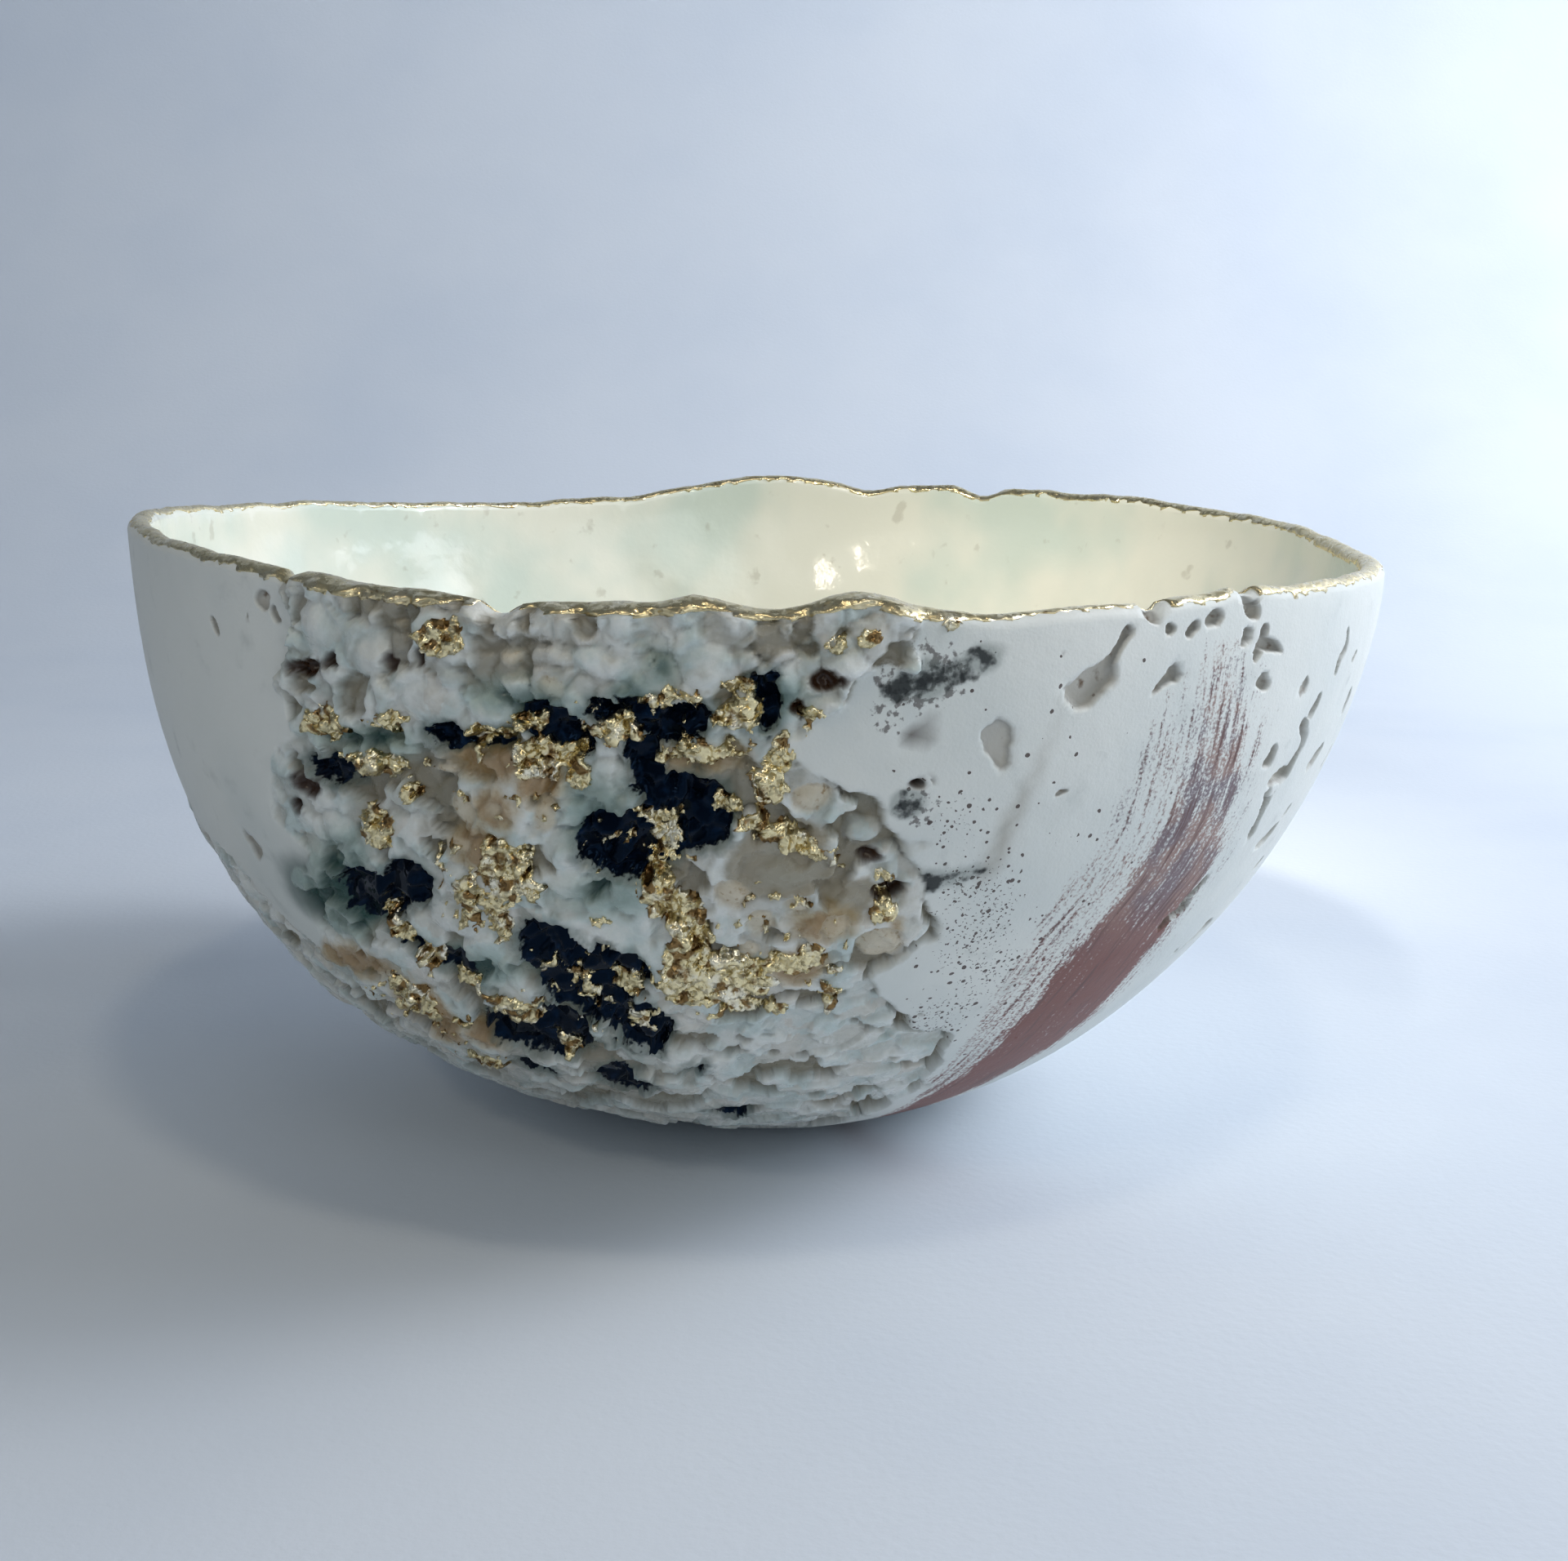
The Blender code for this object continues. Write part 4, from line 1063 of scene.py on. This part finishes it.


# Gold leaf and fired gold lustre: leaf laid loose and pressed down, so that it breaks into
# small mirror facets, with dark brown painted shade in its creases; on the lip it has melted to a skin.
def goldLeafMetal():
    look = leafLook
    material, tree, shader, place, patterns = newMaterial(
        "tornGoldLeafAndLustre", (0.8, 3.0), (2.6, 3.0)
    )
    grain, blotch = patterns
    lip, crease, _, _ = channels(tree, "gilding")
    colour = layered(tree, look["leaf"], [
        (patches(tree, blotch, -0.02, 0.2), look["leafPale"]),
        (lip, look["lustre"], 0.7),
        # painted shade: the crumple's hollows darkened to brown
        (ragged(tree, crease, grain, 1.4, 0.55, 0.95), look["leafCreaseShade"]),
    ])
    tree.links.new(colour, shader.inputs["Base Color"])
    shader.inputs["Metallic"].default_value = 1.0
    roughness = layered(tree, look["roughness"], [(grain, look["dullRoughness"])], "FLOAT")
    tree.links.new(roughness, shader.inputs["Roughness"])
    # each facet tilts its own way
    settings = {"Vector": place, "Scale": perMetre(look["facet"])}
    facets = addNode(tree, "TexVoronoi", {}, settings).outputs["Color"]
    centred = addNode(tree, "VectorMath", {"operation": "SUBTRACT"}, {0: facets, 1: (0.5, 0.5, 0.5)})
    tilt = layered(tree, look["facetTilt"], [(lip, look["lipTilt"])], "FLOAT")
    steps = {0: centred.outputs[0], "Scale": tilt}
    scaled = addNode(tree, "VectorMath", {"operation": "SCALE"}, steps)
    facing = addNode(tree, "NewGeometry", {}, {}).outputs["Normal"]
    tilted = addNode(tree, "VectorMath", {"operation": "ADD"}, {0: facing, 1: scaled.outputs[0]})
    unit = addNode(tree, "VectorMath", {"operation": "NORMALIZE"}, {0: tilted.outputs[0]})
    settings = {"Strength": 0.7, "Distance": look["grainDepth"] * metre, "Height": grain}
    bump = addNode(tree, "Bump", {}, {**settings, "Normal": unit.outputs[0]})
    tree.links.new(bump.outputs["Normal"], shader.inputs["Normal"])
    return material


paperLook = {"sheet": "#DDE3EA", "cloud": "#D3DBE5", "roughness": 0.8, "toothDepth": 0.1}


# Heavy white drawing paper, uncoated: matt, with a soft tooth and faint cloudiness.
def drawingPaper():
    look = paperLook
    material, tree, shader, _, patterns = newMaterial("uncoatedDrawingPaper", (90.0, 4.0), (1.2, 3.0))
    cloud, tooth = patterns
    colour = layered(tree, look["sheet"], [(patches(tree, cloud, -0.2, 0.3), look["cloud"])])
    tree.links.new(colour, shader.inputs["Base Color"])
    shader.inputs["Roughness"].default_value = look["roughness"]
    settings = {"Strength": 0.5, "Distance": look["toothDepth"] * metre, "Height": tooth}
    bump = addNode(tree, "Bump", {}, settings)
    tree.links.new(bump.outputs["Normal"], shader.inputs["Normal"])
    return material


strokeAcross = np.where(np.abs(core) < wash["farSide"], core, 0.0) / wash["bristleWidth"]
masks = {
    "crust": [fields["within"], fields["seam"], fields["seed"]],
    "glaze": [fields["glass"], fields["teal"], fields["ochre"], fields["hole"]],
    "stones": [fields["pebble"], fields["gel"], fields["pit"], smooth(1.35, 1.6, travel)],
    "oxide": [stroke, maroon, smudge, specks],
    "brush": [strokeAcross, height / wash["bristleLength"], veins, runStain],
}
porcelainBowl = addPiece("porcelainBowl", placed, faces, unglazedPorcelain(), masks)
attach(porcelainBowl, "root")
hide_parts("bowl")
print("bowl made,", len(faces), "faces")


# the gold leaf: the gilded faces, cut finer, crumpled and given a back
def goldShell():
    near = (gilt[faces] > -0.8).all(axis=1) | (gilt[faces] > 0.0).any(axis=1)
    chosen = faces[near]
    used, chosen = np.unique(chosen, return_inverse=True)
    chosen = chosen.reshape(-1, 3)
    facing = vertexNormals(placed, faces)
    rows = np.column_stack([placed, facing, points, gilt, isLip])[used]
    for _ in range(4):
        limit = leaf["edge"] + leaf["lipEdge"] * rows[:, 10]
        rows, chosen, changed = splitLongEdges(rows, chosen, rows[:, :3], limit)
        if not changed:
            break
    spots, facing, shell = rows[:, :3], rows[:, 3:6], rows[:, 6:9]
    facing = facing / np.linalg.norm(facing, axis=1)[:, None]
    spread, onLip = rows[:, 9:11].T
    _, _, scrap, _ = cellsAt(shell, leaf["scrap"], 3.0)
    torn = 0.8 * (scrap - 0.5) + 0.9 * noiseAt(shell, 1.9, 3.0) + 0.3 * noiseAt(shell, 0.6, 7.0)
    spread = spread + torn * mixed(leaf["ragged"], leaf["lipRagged"], onLip)
    keep = (spread[chosen] > 0.0).all(axis=1)
    used, chosen = np.unique(chosen[keep], return_inverse=True)
    chosen = chosen.reshape(-1, 3)
    spots, facing, shell = spots[used], facing[used], shell[used]
    spread, onLip = spread[used], onLip[used]
    fold = 1.0 - 2.2 * np.abs(noiseAt(shell, leaf["crumpleLength"], 21.0))
    _, _, facetSeed, facetTilt = cellsAt(shell, leaf["creaseLength"], 33.0)
    flatness = mixed(1.0, leaf["lipShare"], onLip) * smooth(0.0, 0.4, spread)
    lift = leaf["crumple"] * np.clip(fold, 0.0, 1.0)
    lift += leaf["crease"] * (0.9 * facetTilt + 0.5 * facetSeed)
    rest = leaf["lift"] * mixed(1.0, 0.5, onLip) * smooth(0.0, 0.2, spread)
    front = spots + facing * (rest + np.maximum(lift * flatness, 0.0))[:, None]
    back = spots - facing * leaf["sink"]
    # the back faces the other way, and a narrow edge joins the two
    pairs = chosen[:, [0, 1, 1, 2, 2, 0]].reshape(-1, 2)
    keys = np.sort(pairs, axis=1)
    _, which, counts = np.unique(keys, axis=0, return_inverse=True, return_counts=True)
    rim = pairs[counts[which.ravel()] == 1]
    count = len(front)
    sides = np.vstack([
        np.column_stack([rim[:, 1], rim[:, 0], rim[:, 0] + count]),
        np.column_stack([rim[:, 1], rim[:, 0] + count, rim[:, 1] + count]),
    ])
    allFaces = np.vstack([chosen, chosen[:, ::-1] + count, sides])
    allPoints = np.vstack([front, back])
    # the crumple's hollows, which the material darkens as painted shade
    creaseShade = np.clip(1.0 - fold, 0.0, 1.0) * mixed(1.0, 0.6, onLip)
    return allPoints, allFaces, {"gilding": [np.tile(v, 2) for v in (onLip, creaseShade)]}


goldPoints, goldFaces, goldMasks = goldShell()
goldPoints[:, 2] = np.maximum(goldPoints[:, 2], 0.0)
goldLeaf = addPiece("goldLeaf", goldPoints, goldFaces, goldLeafMetal(), goldMasks)
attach(goldLeaf, "root")
print("gold leaf made,", len(goldFaces), "faces")


sweep = {
    "halfWidth": 2.4,  # metres, like all that follows
    "front": -2.4,
    "bendFrom": 0.30,
    "bendRadius": 0.35,
    "top": 1.1,
    "steps": 24,
}


def paperSweep():
    profile = [(sweep["front"], 0.0)]
    for i in range(sweep["steps"] + 1):
        turn = i / sweep["steps"] * math.pi / 2.0
        profile.append((sweep["bendFrom"] + sweep["bendRadius"] * math.sin(turn),
                        sweep["bendRadius"] * (1.0 - math.cos(turn))))
    profile.append((sweep["bendFrom"] + sweep["bendRadius"], sweep["top"]))
    corners = []
    for y, z in profile:
        corners += [(-sweep["halfWidth"], y, z), (sweep["halfWidth"], y, z)]
    quads = [(2 * i, 2 * i + 1, 2 * i + 3, 2 * i + 2) for i in range(len(profile) - 1)]
    mesh = bpy.data.meshes.new("paperSweep")
    mesh.from_pydata(corners, [], quads)
    mesh.shade_smooth()
    mesh.materials.append(drawingPaper())
    paper = bpy.data.objects.new("paperSweep", mesh)
    bpy.context.scene.collection.objects.link(paper)
    return paper


paperSweep()

# name, kind, place, aim, size, watts, colour; a spot's last value is its cone in degrees
lamps = [
    ("sunPatch", "SPOT", (-0.15, -0.45, 0.60), (0.052, 0.064, 0.050), 0.05, 24.0, "#FFFAF0", 7.0),
    ("wallWash", "AREA", (0.85, 0.05, 0.60), (0.80, 0.7, 0.15), 0.30, 8.0, "#F6F9FF"),
    ("window", "AREA", (0.62, 0.02, 0.44), (0.0, 0.0, 0.04), 0.45, 3.2, "#EAF2FF"),
    ("frontFill", "AREA", (0.50, -0.90, 0.55), (0.0, 0.0, 0.04), 0.60, 2.1, "#F1F4F4"),
    ("leftFill", "AREA", (-0.75, -0.60, 0.40), (0.0, 0.0, 0.04), 0.60, 0.45, "#E6EEF4"),
    ("glintLeft", "AREA", (-0.30, -0.55, 0.50), (0.0, -0.07, 0.04), 0.05, 0.35, "#FFF3DC"),
    ("glintTop", "AREA", (0.05, -0.25, 0.60), (0.0, -0.07, 0.05), 0.05, 0.35, "#FFF3DC"),
]
room = {"colour": "#B9C6D6", "strength": 0.25, "spotBlend": 0.7}


def aimAt(thing, target):
    direction = Vector(target) - thing.location
    thing.rotation_euler = direction.to_track_quat("-Z", "Y").to_euler()


def addLamps():
    for name, kind, place, target, size, watts, colour, *cone in lamps:
        lamp = bpy.data.lights.new(name, kind)
        if kind == "SPOT":
            lamp.shadow_soft_size = size
            lamp.spot_size = math.radians(cone[0])
            lamp.spot_blend = room["spotBlend"]
        else:
            lamp.size = size
        lamp.energy = watts
        lamp.color = toLinear(colour)[:3]
        thing = bpy.data.objects.new(name, lamp)
        thing.location = place
        aimAt(thing, target)
        bpy.context.scene.collection.objects.link(thing)
    world = bpy.data.worlds.new("paleRoom")
    world.use_nodes = True
    sky = world.node_tree.nodes["Background"]
    sky.inputs["Color"].default_value = toLinear(room["colour"])
    sky.inputs["Strength"].default_value = room["strength"]
    bpy.context.scene.world = world
    bpy.context.scene.view_settings.view_transform = "Standard"


# fitted to the photo's outline of the bowl
camera = {
    "sensorWidth": 36.0,
    "focalLength": 47.16,
    "place": (0.00128, -0.2738, 0.1001),
    "target": (0.00128, 0.0, 0.0416),
}


def addCamera():
    lens = bpy.data.cameras.new("photoCamera")
    lens.sensor_fit = "HORIZONTAL"
    lens.sensor_width = camera["sensorWidth"]
    lens.lens = camera["focalLength"]
    lens.dof.use_dof = False
    thing = bpy.data.objects.new("photoCamera", lens)
    thing.location = camera["place"]
    aimAt(thing, camera["target"])
    bpy.context.scene.collection.objects.link(thing)
    bpy.context.scene.camera = thing


addLamps()
addCamera()
print("stage lit")
